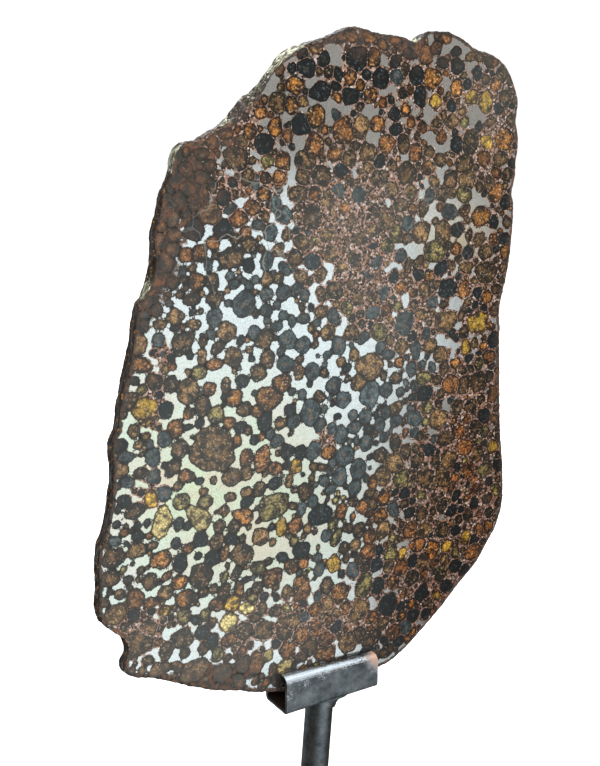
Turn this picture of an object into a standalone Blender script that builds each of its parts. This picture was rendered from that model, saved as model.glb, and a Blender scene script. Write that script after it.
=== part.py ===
"""A pallasite meteorite slice, upright in a folded steel bracket on a post and base plate.

+Z is up and the slice's polished front faces -Y. The origin is in the middle of the base
plate's underside, on the post's axis. Sizes in the constants are millimetres.
"""

import math

import bmesh
import bpy
import numpy as np
from mathutils import Vector

MM = 0.001
GAP = 0.3  # clearance between pieces that rest on or in each other

# The stand. The post's axis is x = 0, y = 0.
BASE_LENGTH, BASE_DEPTH, BASE_THICKNESS = 124.0, 86.0, 10.0
BASE_CORNER_RADIUS = 3.0
BASE_EDGE_BREAK = 0.8
FOOT_WELD_REACH = 2.0
POST_DIAMETER = 12.0
POST_SIDES = 48
POST_EDGE_BREAK = 0.4
BRACKET_UNDERSIDE = 88.0  # its height on the post's axis
BRACKET_LEFT, BRACKET_RIGHT = 21.6, 24.9  # from the post's axis to its cut ends
BRACKET_FRONT, BRACKET_BACK = 8.0, 9.4
BRACKET_HEIGHT_LEFT, BRACKET_HEIGHT_RIGHT = 16.8, 15.1  # it was folded a little out of true
BRACKET_TILT = 4.2  # degrees, right end up
BRACKET_WALL = 1.6
TOP_BEND, BOTTOM_BEND = 3.2, 2.0  # outside radii of its folds
WELD_REACH, WELD_DEPTH = 0.7, 0.5  # how far the weld under it runs out from and down the post
WELD_CORNER_REACH, WELD_CORNER_DEPTH = 5.6, 4.6  # and how much further in the right corner
WELD_REACH_TURN, WELD_DEPTH_TURN = 0.25, 0.6  # radians from +X towards the front
WELD_RIPPLE, WELD_RIPPLES = 0.12, 7
FOOT_WELD_RIPPLE, FOOT_WELD_RIPPLES = 0.16, 9
WELD_ROOT = 0.8  # how deep a weld runs into the plate it is fused to
# A weld's hollow face, as shares of its reach along the plate and of its run up or down the post
BRACKET_WELD_FACE = ((1.0, 0.0), (0.5, 0.22), (0.2, 0.6), (0.08, 1.0), (0.0, 1.0))
FOOT_WELD_FACE = ((1.0, 0.0), (0.45, 0.4), (0.15, 1.0), (0.0, 1.0))

# The slice
SLICE_THICKNESS = 4.6
SLICE_FORWARD = 0.7  # its middle plane and the bracket's slot lie this far in front of the post
SLICE_ARRIS = 0.3  # the worn edge between the sawn faces and the crust
SLICE_SPACING = 3.4  # between the points read off its outline
RIM_ROWS = (0.34, 0.66)  # the rim's middle rows, as shares of the thickness from the front
CRUST_ROUGHNESS = 0.4
BACK_EDGE_ROUGHNESS = 0.6  # the back edge's share of it
CLEAR_OF_BRACKET = 4.0  # the rim stays smooth in the bracket and this far past its ends

# Its outline seen from the front, clockwise from the top: x from the post's axis and height
# above the bracket's underside
SLICE_OUTLINE = [
    # along the top, with a small notch at x = 20
    (-11.5, 275.7), (-8, 276), (-4, 275.6), (1, 275), (8, 275), (13, 275), (17, 274.2),
    (20.3, 273.8), (22.3, 275.6), (25, 277.8), (30.5, 279), (36.5, 279.4), (44, 277.6),
    (49, 275.3), (54.5, 274),
    # round the right shoulder
    (59.5, 273.4), (64, 272), (68.8, 269), (72.2, 265), (75.2, 260.5), (77.2, 255),
    # down the right side, which runs a little wider towards the foot
    (77, 248), (78.9, 242.5), (79.8, 237.5), (79.3, 232), (79.8, 224.5), (78.8, 218), (80.4, 213),
    (81.4, 202), (81.4, 190), (80.6, 181.5), (78.9, 171), (78.8, 165), (79.9, 159.5), (80.4, 153.5),
    (82, 143.5), (84.3, 127), (86.8, 111), (88.8, 102.5), (90.8, 93), (92.3, 81.5), (92.3, 75),
    (91.2, 70), (89.2, 64.5), (85.4, 58.5), (82.3, 53.3),
    # back along the lower right edge, down to the bracket
    (78, 47.5), (72.3, 42.6), (62.9, 32.6), (52.8, 23), (47, 18.2), (41, 13.4), (34, 9.6), (29, 8.4),
    # the stretch that stands in the bracket
    (22, 6.4), (14, 3.9), (5, 2.6), (-4, 2.4), (-14, 4.6), (-22, 7.0),
    # the lower left edge and its broken corner
    (-29, 8.4), (-36.5, 10), (-42, 11.8), (-53.5, 14.3), (-69, 20.2), (-81, 25.2), (-89.5, 27.4),
    (-93, 29.6), (-93.8, 33), (-92.4, 37.5), (-93.8, 43), (-98, 47), (-103.6, 52.4),
    # up the left side, in shallow steps
    (-105, 57.6), (-105, 64), (-105.4, 70), (-105.8, 76), (-105, 81.5), (-103, 88), (-101.8, 95.7),
    (-101.1, 103), (-101.2, 111.7), (-101.8, 117), (-101.6, 121.5), (-100.1, 125), (-99.3, 133.7),
    (-98, 142), (-96.7, 146.5), (-95.2, 157.3), (-94.3, 165), (-93.8, 170), (-91.2, 174),
    (-88.8, 179), (-87.6, 185), (-88.4, 191), (-88.8, 196), (-87.1, 202), (-85.8, 210),
    (-83.8, 215), (-82.6, 220), (-81.9, 224.3),
    # up the slanted shoulder
    (-79.2, 227.8), (-73.2, 229.5), (-65.9, 234.3), (-58, 238.7), (-53.6, 242.8), (-50, 247),
    (-47.7, 251.4), (-45, 255.2), (-41.8, 258.8), (-37.9, 262.3), (-32, 266.6), (-24, 269.8),
    (-17.6, 272.6),
]
# Broken stretches of the rim, which lean out to the back: middle, half length and lean
RIM_BREAKS = [((-54, 243), 13.0, 2.7), ((-38, 262), 8.0, 1.6), ((-88, 183), 11.0, 1.5)]


def empty_scene():
    for thing in list(bpy.data.objects):
        bpy.data.objects.remove(thing, do_unlink=True)


def material(name, colour, roughness, metallic):
    """A plain Principled BSDF, with its colour in linear values."""
    made = bpy.data.materials.new(name)
    made.use_nodes = True
    made.diffuse_color = (*colour, 1.0)
    shader = made.node_tree.nodes["Principled BSDF"]
    shader.inputs["Base Color"].default_value = (*colour, 1.0)
    shader.inputs["Roughness"].default_value = roughness
    shader.inputs["Metallic"].default_value = metallic
    return made


def piece(name, mesh_builder, finish, smooth_angle=None):
    """Turns a bmesh that is in millimetres into a named object in metres."""
    mesh = bpy.data.meshes.new(name)
    bmesh.ops.scale(mesh_builder, vec=(MM, MM, MM), verts=mesh_builder.verts)
    bmesh.ops.recalc_face_normals(mesh_builder, faces=mesh_builder.faces)
    mesh_builder.to_mesh(mesh)
    mesh_builder.free()
    mesh.materials.append(finish)
    if smooth_angle is not None:
        mesh.shade_smooth()
        mesh.set_sharp_from_angle(angle=math.radians(smooth_angle))
    made = bpy.data.objects.new(name, mesh)
    bpy.context.scene.collection.objects.link(made)
    return made


def loft(bm, rows, closed_ring=False):
    """Joins rows of points, each a closed loop, and caps the two ends unless the rows close."""
    loops = [[bm.verts.new(point) for point in row] for row in rows]
    pairs = list(zip(loops, loops[1:]))
    if closed_ring:
        pairs.append((loops[-1], loops[0]))
    for lower, upper in pairs:
        for i in range(len(lower)):
            j = (i + 1) % len(lower)
            bm.faces.new((lower[i], lower[j], upper[j], upper[i]))
    if not closed_ring:
        bm.faces.new(list(reversed(loops[0])))
        bm.faces.new(loops[-1])


def arc(centre, radius, start, end, steps):
    """Points on an arc in a plane, from one angle in degrees to another."""
    angles = [math.radians(start + (end - start) * i / steps) for i in range(steps + 1)]
    return [(centre[0] + radius * math.cos(a), centre[1] + radius * math.sin(a)) for a in angles]


def catmull_rom(points, spacing):
    """A smooth closed curve through the points, read off about every spacing millimetres."""
    control = [Vector(point) for point in points]
    count = len(control)
    curve = []
    for i in range(count):
        p0, p1, p2, p3 = (control[(i + k) % count] for k in (-1, 0, 1, 2))
        t0 = 0.0
        t1 = t0 + math.sqrt((p1 - p0).length)
        t2 = t1 + math.sqrt((p2 - p1).length)
        t3 = t2 + math.sqrt((p3 - p2).length)
        steps = max(1, round((p2 - p1).length / spacing))
        for step in range(steps):
            t = t1 + (t2 - t1) * step / steps
            a1 = p0.lerp(p1, (t - t0) / (t1 - t0))
            a2 = p1.lerp(p2, (t - t1) / (t2 - t1))
            a3 = p2.lerp(p3, (t - t2) / (t3 - t2))
            b1 = a1.lerp(a2, (t - t0) / (t2 - t0))
            b2 = a2.lerp(a3, (t - t1) / (t3 - t1))
            curve.append(b1.lerp(b2, (t - t1) / (t2 - t1)))
    return curve


def rim_lean(point):
    """How far the back edge stands outside the front edge here, on the broken stretches."""
    lean = 0.0
    for middle, half_length, most in RIM_BREAKS:
        away = (point - Vector(middle)).length / half_length
        if away < 1:
            lean = max(lean, most * (1 + math.cos(math.pi * away)) / 2)
    return lean


def make_slice(finish):
    """The sawn slab: its front outline, a rough rim and a back that leans out at the shoulder."""
    front = catmull_rom(SLICE_OUTLINE, SLICE_SPACING)
    count = len(front)
    outward = []
    for i in range(count):
        along = front[(i + 1) % count] - front[i - 1]
        outward.append(Vector((-along.y, along.x)).normalized())

    chips = np.random.default_rng(7).normal(0.0, CRUST_ROUGHNESS, (3, count))
    chips = (chips + np.roll(chips, 1, axis=1)) / 2
    in_bracket = max(BRACKET_LEFT, BRACKET_RIGHT) + CLEAR_OF_BRACKET

    def row(share, inset, chip):
        """One loop of the rim: share is 0 at the front face and 1 at the back."""
        points = []
        for i, point in enumerate(front):
            out = rim_lean(point) * share
            if abs(point.x) > in_bracket or point.y > BRACKET_HEIGHT_LEFT:
                out += chip[i]
            moved = point + outward[i] * (out - inset)
            y = (share - 0.5) * SLICE_THICKNESS - SLICE_FORWARD
            points.append((moved.x, y, moved.y + BRACKET_UNDERSIDE))
        return points

    arris = SLICE_ARRIS / SLICE_THICKNESS
    smooth = np.zeros(count)
    back_edge = chips[2] * BACK_EDGE_ROUGHNESS
    bm = bmesh.new()
    loft(
        bm,
        [
            row(0.0, SLICE_ARRIS, smooth),
            row(arris, 0.0, smooth),
            row(RIM_ROWS[0], 0.0, chips[0]),
            row(RIM_ROWS[1], 0.0, chips[1]),
            row(1 - arris, 0.0, back_edge),
            row(1.0, SLICE_ARRIS, back_edge),
        ],
    )
    return piece("slice", bm, finish)


def channel_section(height):
    """The folded channel's section in the Y-Z plane: a square tube with a slot along its top."""
    slot_front = -SLICE_FORWARD - SLICE_THICKNESS / 2 - GAP
    slot_back = -SLICE_FORWARD + SLICE_THICKNESS / 2 + GAP
    folds = [
        ((BRACKET_BACK - TOP_BEND, height - TOP_BEND), TOP_BEND, 90),
        ((BRACKET_BACK - BOTTOM_BEND, BOTTOM_BEND), BOTTOM_BEND, 0),
        ((BOTTOM_BEND - BRACKET_FRONT, BOTTOM_BEND), BOTTOM_BEND, 270),
        ((TOP_BEND - BRACKET_FRONT, height - TOP_BEND), TOP_BEND, 180),
    ]
    outer = [(slot_back, height)]
    for centre, radius, start in folds:
        outer += arc(centre, radius, start, start - 90, 6)
    outer.append((slot_front, height))
    inner = [(slot_front, height - BRACKET_WALL)]
    for centre, radius, start in reversed(folds):
        inner += arc(centre, radius - BRACKET_WALL, start - 90, start, 6)
    inner.append((slot_back, height - BRACKET_WALL))
    return outer + inner


def weld_section(face, reach, run, root, plate):
    """A weld's section: its face between the plate's surface and the post, and its root."""
    inner = POST_DIAMETER / 2 + GAP
    points = [(inner, root), (inner + reach, root)]
    for along, up in face:
        points.append((inner + reach * along, plate + run * up))
    return points


def weld_ring(section_at):
    """A closed ring round the post's axis from the weld's section at each angle."""
    rows = []
    for i in range(POST_SIDES):
        angle = 2 * math.pi * i / POST_SIDES
        rows.append([(r * math.cos(angle), r * math.sin(angle), z) for r, z in section_at(angle)])
    bm = bmesh.new()
    loft(bm, rows, closed_ring=True)
    return bm


def fuse(body, addition):
    """Adds one closed body to another, for metal that is welded on."""
    addition.hide_render = True
    addition.display_type = "WIRE"
    joined = body.modifiers.new("weld", "BOOLEAN")
    joined.operation = "UNION"
    joined.solver = "EXACT"
    joined.object = addition


def make_bracket(finish):
    """The folded channel with the weld's bead fused to its underside."""
    bm = bmesh.new()
    rows = []
    for x, height in ((-BRACKET_LEFT, BRACKET_HEIGHT_LEFT), (BRACKET_RIGHT, BRACKET_HEIGHT_RIGHT)):
        rows.append([(x, y, z) for y, z in channel_section(height)])
    loft(bm, rows)
    channel = piece("bracket", bm, finish, smooth_angle=25)

    def bead_section(angle):
        reach = WELD_REACH
        reach += WELD_CORNER_REACH * max(0.0, math.cos(angle + WELD_REACH_TURN)) ** 3
        reach += WELD_RIPPLE * math.sin(WELD_RIPPLES * angle)
        if math.sin(angle) < 0:  # not past the channel's front face
            room = (BRACKET_FRONT - GAP) / -math.sin(angle)
            reach = min(reach, room - POST_DIAMETER / 2 - GAP)
        low = -WELD_DEPTH
        low -= WELD_CORNER_DEPTH * max(0.0, math.cos(angle + WELD_DEPTH_TURN))
        return weld_section(BRACKET_WELD_FACE, reach, low, WELD_ROOT, 0.0)

    bead = piece("weld_bead", weld_ring(bead_section), finish)
    fuse(channel, bead)
    for thing in (channel, bead):
        thing.location = (0, 0, BRACKET_UNDERSIDE * MM)
        thing.rotation_euler = (0, -math.radians(BRACKET_TILT), 0)
    return channel


def make_post(finish):
    """A round bar between the base plate and the bracket, its top cut to the bracket's tilt."""
    foot = BASE_THICKNESS + GAP
    radius = POST_DIAMETER / 2
    slope = math.tan(math.radians(BRACKET_TILT))
    rings = []
    for radius_here, up_from_foot, down_from_top in (
        (radius - POST_EDGE_BREAK, 0.0, None),
        (radius, POST_EDGE_BREAK, None),
        (radius, None, POST_EDGE_BREAK),
        (radius - POST_EDGE_BREAK, None, 0.0),
    ):
        ring = []
        for x, y in arc((0, 0), radius_here, 0, 360, POST_SIDES)[:-1]:
            if up_from_foot is not None:
                z = foot + up_from_foot
            else:
                z = BRACKET_UNDERSIDE - GAP - down_from_top + x * slope
            ring.append((x, y, z))
        rings.append(ring)
    bm = bmesh.new()
    loft(bm, rings)
    return piece("post", bm, finish, smooth_angle=40)


def make_base(finish):
    """A steel plate with eased corners, and the weld that holds the post's foot."""
    across = BASE_LENGTH / 2 - BASE_CORNER_RADIUS
    deep = BASE_DEPTH / 2 - BASE_CORNER_RADIUS
    rows = []
    for z, inset in (
        (0.0, BASE_EDGE_BREAK),
        (BASE_EDGE_BREAK, 0.0),
        (BASE_THICKNESS - BASE_EDGE_BREAK, 0.0),
        (BASE_THICKNESS, BASE_EDGE_BREAK),
    ):
        radius = BASE_CORNER_RADIUS - inset
        outline = []
        corners = [(across, deep), (-across, deep), (-across, -deep), (across, -deep)]
        for quarter, corner in enumerate(corners):
            outline += arc(corner, radius, 90 * quarter, 90 * quarter + 90, 6)
        rows.append([(x, y, z) for x, y in outline])
    bm = bmesh.new()
    loft(bm, rows)
    plate = piece("base", bm, finish, smooth_angle=30)

    def foot_section(angle):
        reach = FOOT_WELD_REACH + FOOT_WELD_RIPPLE * math.sin(FOOT_WELD_RIPPLES * angle)
        top = BASE_THICKNESS
        return weld_section(FOOT_WELD_FACE, reach, reach, top - WELD_ROOT, top)

    fuse(plate, piece("foot_weld", weld_ring(foot_section), finish))
    return plate


def main():
    empty_scene()
    stone = material("pallasite", (0.17, 0.16, 0.14), 0.30, 0.60)
    steel = material("blackened_steel", (0.040, 0.042, 0.040), 0.38, 0.90)
    make_slice(stone)
    make_bracket(steel)
    make_post(steel)
    make_base(steel)


main()
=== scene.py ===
import math

import bpy
import numpy as np
from mathutils import Matrix, Vector, noise
from mathutils.geometry import delaunay_2d_cdt
from mathutils.kdtree import KDTree


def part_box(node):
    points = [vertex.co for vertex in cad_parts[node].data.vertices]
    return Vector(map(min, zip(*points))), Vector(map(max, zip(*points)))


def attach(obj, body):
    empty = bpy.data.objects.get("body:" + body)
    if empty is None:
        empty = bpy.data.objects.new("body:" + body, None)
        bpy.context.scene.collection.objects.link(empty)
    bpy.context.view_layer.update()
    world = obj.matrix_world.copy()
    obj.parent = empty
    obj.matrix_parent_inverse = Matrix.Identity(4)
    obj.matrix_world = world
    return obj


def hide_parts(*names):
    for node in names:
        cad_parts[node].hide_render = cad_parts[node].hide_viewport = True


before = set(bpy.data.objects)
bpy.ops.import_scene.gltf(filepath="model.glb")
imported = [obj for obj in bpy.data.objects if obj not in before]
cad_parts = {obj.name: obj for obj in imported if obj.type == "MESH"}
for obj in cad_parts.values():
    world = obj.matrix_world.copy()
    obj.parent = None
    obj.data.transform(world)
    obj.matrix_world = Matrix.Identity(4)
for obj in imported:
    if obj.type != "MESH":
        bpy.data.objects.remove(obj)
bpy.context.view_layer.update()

# A sawn and polished pallasite slab in its steel stand. Lengths are millimetres until a mesh
# is made. The slab's front face looks along -Y, and places on it are given as (x, height).

mm = 0.001
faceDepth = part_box("slice")[0][1] / mm  # where the slab's front face lies

cameraStand = {  # the photograph's view: what it looks at, from where, and its lens
    "aim": (-21.2, 0.0, 226.4), "azimuth": -33.0, "elevation": 11.0, "roll": 3.9,
    "distance": 438.0, "lens": 51.7, "sensor": 36.0,
    "photo": (600, 766),  # pixels
}

# Olivine grains read off enlarged crops of the photograph. A crop is named by
# its top left corner in the photograph's pixels. For each look stand the grains' middle x and y,
# width and height in the crop's own pixels and, where a grain leans, its lean in degrees.
cropScale = 1568 / 260
grainsSeen = {
    (80, 240): {
        "slate": [(810, 470, 95, 110), (988, 385, 135, 170), (1020, 275, 50, 60),
            (905, 215, 60, 55), (925, 265, 70, 65), (962, 225, 30, 35), (1125, 330, 85, 85),
            (1228, 320, 95, 100), (1125, 425, 75, 75), (1190, 390, 50, 60), (1225, 455, 60, 60),
            (1185, 520, 70, 70), (1280, 490, 45, 85), (1350, 475, 80, 60), (470, 605, 75, 85),
            (1050, 560, 80, 90), (1252, 607, 105, 122), (1342, 635, 90, 110), (1210, 672, 50, 50),
            (1240, 750, 110, 102), (1402, 792, 85, 105), (1280, 915, 50, 52), (1340, 930, 52, 72),
            (1390, 1040, 112, 165), (1290, 1095, 85, 90), (510, 1200, 86, 100),
            (420, 1232, 50, 60), (440, 1312, 90, 122), (275, 1310, 110, 75), (1150, 1170, 60, 70),
            (1190, 1215, 92, 75), (1410, 1270, 90, 112), (445, 1425, 74, 84), (722, 1455, 62, 50),
            (620, 185, 50, 70)],
        "black": [(570, 535, 70, 40), (680, 435, 50, 45), (735, 575, 30, 30), (662, 695, 45, 60),
            (970, 605, 50, 70), (1180, 590, 30, 45), (1035, 715, 45, 45), (980, 850, 98, 78),
            (866, 950, 40, 40), (1385, 870, 40, 40), (1270, 1025, 75, 82),
            (1115, 1100, 90, 125, -20), (515, 1027, 88, 98), (475, 935, 60, 50),
            (330, 850, 60, 58), (440, 680, 35, 30), (550, 715, 50, 60), (650, 1130, 75, 42),
            (720, 1105, 60, 60), (475, 1135, 30, 40), (245, 1240, 85, 82), (970, 1130, 80, 70),
            (1055, 1205, 60, 66), (1250, 1275, 76, 92, -10), (1330, 1280, 70, 92),
            (1250, 1360, 50, 60), (1345, 1415, 30, 30), (1172, 1470, 90, 76, 15),
            (510, 1358, 40, 40)],
        "umber": [(910, 110, 180, 130), (675, 360, 130, 85), (812, 355, 105, 110),
            (465, 425, 80, 80), (620, 625, 120, 165, -40), (830, 652, 95, 75, 30),
            (1105, 600, 110, 130), (1130, 720, 90, 110, -30), (1075, 800, 110, 100, -30),
            (552, 870, 95, 95), (742, 1002, 98, 135), (990, 1020, 90, 90), (1210, 1106, 75, 82),
            (300, 970, 100, 112), (235, 1110, 60, 90), (602, 1262, 112, 130),
            (920, 1430, 138, 110), (368, 1405, 78, 78), (560, 1372, 120, 88, 20),
            (1412, 1370, 62, 60), (560, 260, 90, 80), (520, 130, 90, 140), (800, 250, 80, 120),
            (560, 60, 90, 90), (400, 370, 90, 90)],
        "brown": [(890, 305, 35, 40), (575, 465, 100, 100), (685, 510, 90, 70), (480, 510, 95, 60),
            (890, 555, 120, 125), (740, 618, 60, 60), (735, 705, 65, 95, 10), (1012, 600, 35, 40),
            (1022, 662, 50, 50), (925, 705, 105, 130), (1320, 797, 65, 100), (1327, 722, 55, 50),
            (652, 912, 130, 158, 10), (880, 880, 60, 110, 8), (350, 632, 105, 130),
            (325, 1155, 80, 92), (355, 1235, 65, 60), (810, 1265, 292, 290), (1005, 1410, 70, 90),
            (240, 1390, 110, 110), (590, 1485, 66, 62), (1262, 1450, 42, 95), (440, 100, 60, 120)],
        "rust": [(800, 20, 90, 90), (812, 750, 97, 77), (1215, 865, 105, 130),
            (1140, 955, 185, 150, 15), (780, 898, 80, 86), (1065, 1035, 90, 70),
            (565, 765, 40, 45), (577, 1140, 112, 120), (900, 1105, 76, 80), (1003, 1312, 82, 115),
            (1095, 1188, 40, 60), (1100, 1325, 98, 210, -8), (1177, 1376, 84, 85),
            (642, 1425, 95, 92), (640, 90, 80, 100), (700, 250, 110, 100), (440, 260, 90, 140)],
        "orange": [(720, 80, 90, 110), (930, 952, 98, 110), (655, 1045, 65, 82),
            (362, 755, 140, 100, -15), (1015, 1150, 50, 60), (945, 1215, 62, 82)],
        "yellow": [(395, 1035, 150, 160), (1302, 1360, 80, 95)],
        "olive": [(730, 430, 35, 50), (715, 797, 110, 88), (820, 1055, 100, 110)],
    },
    (80, 460): {
        "slate": [(508, 205, 88, 84), (1335, 292, 62, 82), (1405, 250, 64, 90, 10),
            (1485, 457, 62, 72), (1430, 590, 62, 56), (1442, 662, 62, 80), (1435, 822, 46, 60),
            (170, 400, 90, 110), (210, 490, 90, 60)],
        "black": [(800, 592, 100, 92), (740, 1040, 92, 82), (1010, 252, 85, 72),
            (595, 385, 62, 90), (650, 400, 52, 50), (265, 252, 85, 82), (405, 382, 40, 62),
            (350, 462, 82, 62), (580, 505, 62, 78), (725, 477, 92, 92), (1155, 405, 40, 50),
            (1450, 332, 150, 125, -20), (1335, 540, 110, 88), (606, 622, 84, 122),
            (1220, 587, 76, 62, -15), (1185, 832, 36, 42), (1110, 826, 46, 56), (290, 725, 62, 62),
            (430, 912, 50, 40), (545, 952, 40, 46), (565, 990, 30, 26), (800, 1098, 76, 102),
            (1185, 1110, 50, 62), (230, 300, 40, 60)],
        "umber": [(1085, 175, 75, 95), (1360, 187, 95, 108), (905, 225, 80, 60),
            (930, 400, 78, 88), (840, 398, 75, 92), (330, 310, 120, 100), (1418, 430, 30, 45),
            (200, 592, 132, 118), (732, 700, 138, 168), (975, 572, 145, 132, -25),
            (1135, 612, 60, 50), (1485, 757, 74, 96), (180, 717, 122, 102), (422, 735, 95, 108),
            (415, 1012, 130, 80), (345, 1105, 190, 175), (622, 1078, 130, 108, -20),
            (520, 1150, 82, 120), (632, 1162, 62, 62), (990, 1030, 92, 92), (1110, 1024, 114, 108),
            (986, 1232, 90, 112), (860, 1285, 110, 118), (150, 230, 60, 110), (1180, 915, 90, 60),
            (1060, 945, 70, 60), (1390, 1120, 110, 110), (1330, 1190, 90, 60),
            (1180, 770, 50, 40)],
        "brown": [(1000, 195, 70, 70), (825, 490, 90, 100), (1087, 460, 102, 112),
            (1162, 497, 42, 56), (1372, 415, 50, 62), (342, 545, 135, 100), (1250, 800, 62, 92),
            (515, 802, 90, 86), (215, 930, 140, 120), (1270, 976, 140, 96, -15),
            (690, 1262, 175, 130), (480, 1262, 170, 80), (1500, 860, 80, 90)],
        "rust": [(265, 440, 60, 50), (416, 460, 42, 42), (655, 532, 82, 62), (1298, 398, 85, 105),
            (868, 562, 60, 120), (1165, 710, 118, 120), (1275, 640, 82, 92), (1350, 622, 62, 72),
            (1335, 775, 98, 200), (332, 840, 114, 134), (430, 862, 90, 72), (742, 800, 62, 62),
            (822, 872, 80, 82), (905, 1082, 88, 86), (1250, 1140, 98, 92), (1064, 1225, 90, 172),
            (1162, 1270, 50, 100), (1420, 905, 80, 90), (1480, 1080, 90, 90)],
        "orange": [(870, 308, 66, 70), (980, 340, 145, 100), (490, 598, 135, 116),
            (600, 737, 98, 88), (645, 840, 170, 105), (742, 1135, 58, 84), (1512, 970, 66, 74),
            (960, 780, 60, 100)],
        "gold": [(497, 380, 118, 240), (715, 345, 125, 185, 40), (897, 980, 96, 114),
            (1005, 892, 100, 72), (1133, 1180, 60, 76), (1232, 1247, 88, 88)],
        "yellow": [(745, 190, 62, 52), (430, 237, 92, 105), (920, 860, 92, 112),
            (1215, 402, 68, 115), (1530, 620, 74, 112), (515, 910, 78, 72)],
        "olive": [(1165, 280, 205, 150, 15), (755, 252, 92, 86), (612, 250, 108, 100),
            (1290, 490, 60, 60), (1078, 650, 105, 76), (626, 945, 86, 92), (755, 935, 68, 82),
            (830, 1172, 72, 84), (1040, 840, 60, 70)],
    },
    (80, 10): {
        "slate": [(1145, 1342, 84, 100), (1230, 1232, 112, 98), (1180, 1170, 60, 110)],
        "black": [(1110, 812, 112, 126), (872, 1132, 102, 88), (862, 1325, 115, 130),
            (1455, 490, 180, 108), (1330, 690, 130, 120), (690, 1325, 118, 140),
            (920, 1040, 60, 60), (1370, 350, 120, 110), (1280, 350, 60, 70),
            (1470, 300, 60, 110, -20), (1560, 390, 60, 90)],
        "umber": [(1195, 560, 120, 130), (940, 892, 165, 130, -10), (1010, 1010, 90, 90),
            (650, 1080, 110, 90), (740, 1010, 110, 90), (640, 960, 90, 100), (590, 1150, 90, 130),
            (780, 940, 90, 80), (800, 1060, 60, 90), (690, 1180, 70, 70), (730, 870, 130, 80),
            (1360, 910, 120, 120), (1450, 1000, 130, 110), (1340, 1010, 90, 100),
            (1320, 1110, 100, 110), (1410, 1250, 130, 140), (1340, 1400, 110, 80),
            (1020, 1420, 110, 100)],
        "brown": [(1345, 550, 60, 82), (782, 1226, 138, 128), (1250, 1355, 72, 62),
            (970, 790, 90, 70), (560, 1260, 80, 110), (1420, 220, 110, 80), (1500, 1150, 110, 110),
            (1500, 1350, 120, 120)],
        "rust": [(1410, 822, 112, 165), (1220, 910, 100, 108), (1120, 1015, 72, 72),
            (960, 1262, 112, 92), (1090, 620, 90, 80), (1060, 560, 60, 60), (950, 640, 90, 70),
            (880, 740, 120, 80), (1200, 1020, 80, 100), (1040, 1190, 110, 90), (800, 800, 90, 90),
            (1500, 180, 100, 70), (470, 1400, 70, 110), (1000, 1340, 70, 80)],
        "orange": [(1118, 452, 62, 96, -25), (1270, 575, 90, 110), (1300, 455, 118, 96),
            (1420, 642, 110, 150), (1180, 708, 80, 140, -8), (1030, 732, 82, 92),
            (1110, 1108, 78, 90), (640, 860, 60, 70)],
        "olive": [(1130, 905, 80, 90)],
    },
    (280, 10): {
        "slate": [(705, 400, 72, 100), (1025, 1217, 102, 96), (775, 1288, 82, 92),
            (480, 1110, 90, 110), (350, 1090, 90, 90), (900, 1120, 60, 90)],
        "black": [(465, 290, 138, 135), (425, 520, 122, 105), (610, 412, 92, 135, 10),
            (695, 310, 62, 100, -25), (520, 390, 60, 62), (820, 400, 84, 120), (845, 520, 66, 130),
            (1130, 450, 56, 62), (1035, 578, 60, 72), (1066, 812, 64, 122), (780, 265, 84, 66),
            (690, 630, 72, 82), (672, 540, 42, 50), (1355, 1160, 62, 92), (1135, 1460, 62, 92),
            (1320, 600, 60, 72), (1200, 700, 50, 60), (1070, 340, 80, 90), (980, 320, 90, 60),
            (1190, 380, 60, 90), (1060, 250, 70, 60), (1290, 1280, 60, 80), (1350, 1380, 80, 70)],
        "umber": [(1148, 800, 96, 142), (1118, 932, 112, 112), (742, 805, 72, 130, 10),
            (738, 500, 52, 72), (945, 682, 52, 60), (965, 905, 62, 82), (762, 990, 112, 128),
            (600, 1012, 112, 124), (1030, 1022, 82, 112), (1330, 900, 80, 90), (1370, 990, 60, 80),
            (1390, 670, 50, 70), (1240, 420, 60, 60), (1370, 1280, 60, 70), (980, 1110, 70, 80)],
        "brown": [(485, 705, 90, 165), (530, 860, 110, 124), (1035, 672, 74, 84),
            (900, 852, 62, 62), (790, 1095, 82, 92), (1130, 1022, 92, 112),
            (980, 1342, 98, 138, -15), (850, 1342, 114, 112), (1260, 1040, 70, 90),
            (1150, 280, 80, 60), (680, 1080, 80, 110), (820, 160, 40, 40), (420, 890, 90, 100),
            (640, 1270, 110, 100), (560, 1330, 110, 90), (1200, 1380, 70, 80)],
        "rust": [(1275, 312, 96, 78), (880, 270, 82, 125, -15), (945, 228, 72, 86),
            (385, 730, 140, 160), (645, 805, 84, 124), (592, 685, 82, 104), (620, 562, 52, 62),
            (975, 770, 62, 96), (820, 860, 74, 132), (1300, 1100, 92, 112), (385, 1192, 82, 82),
            (790, 680, 52, 62), (860, 705, 60, 72), (1230, 900, 80, 100), (1300, 450, 70, 80),
            (430, 150, 100, 80), (700, 180, 80, 70), (1000, 170, 90, 70), (1100, 180, 90, 60),
            (330, 870, 90, 90)],
        "orange": [(545, 520, 74, 98), (565, 290, 82, 112, -15), (920, 412, 102, 124),
            (1067, 472, 78, 112), (1350, 780, 112, 132), (757, 602, 60, 80),
            (1210, 1242, 122, 112), (1360, 1460, 62, 112), (540, 160, 110, 80), (620, 210, 90, 70),
            (890, 950, 90, 80)],
        "yellow": [(940, 553, 66, 96, -8), (1165, 520, 86, 92), (1240, 555, 76, 130, 15),
            (1247, 800, 76, 92)],
        "olive": [(1112, 680, 50, 70), (1110, 1112, 92, 102), (935, 1452, 152, 132),
            (700, 1350, 80, 100)],
    },
    (280, 240): {
        "slate": [(620, 322, 82, 112), (535, 222, 82, 82), (760, 502, 98, 170),
            (820, 662, 60, 130), (792, 780, 56, 92), (920, 378, 62, 72), (545, 930, 115, 170),
            (637, 907, 78, 84), (322, 880, 92, 104), (380, 962, 92, 102), (441, 1054, 60, 68),
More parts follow.
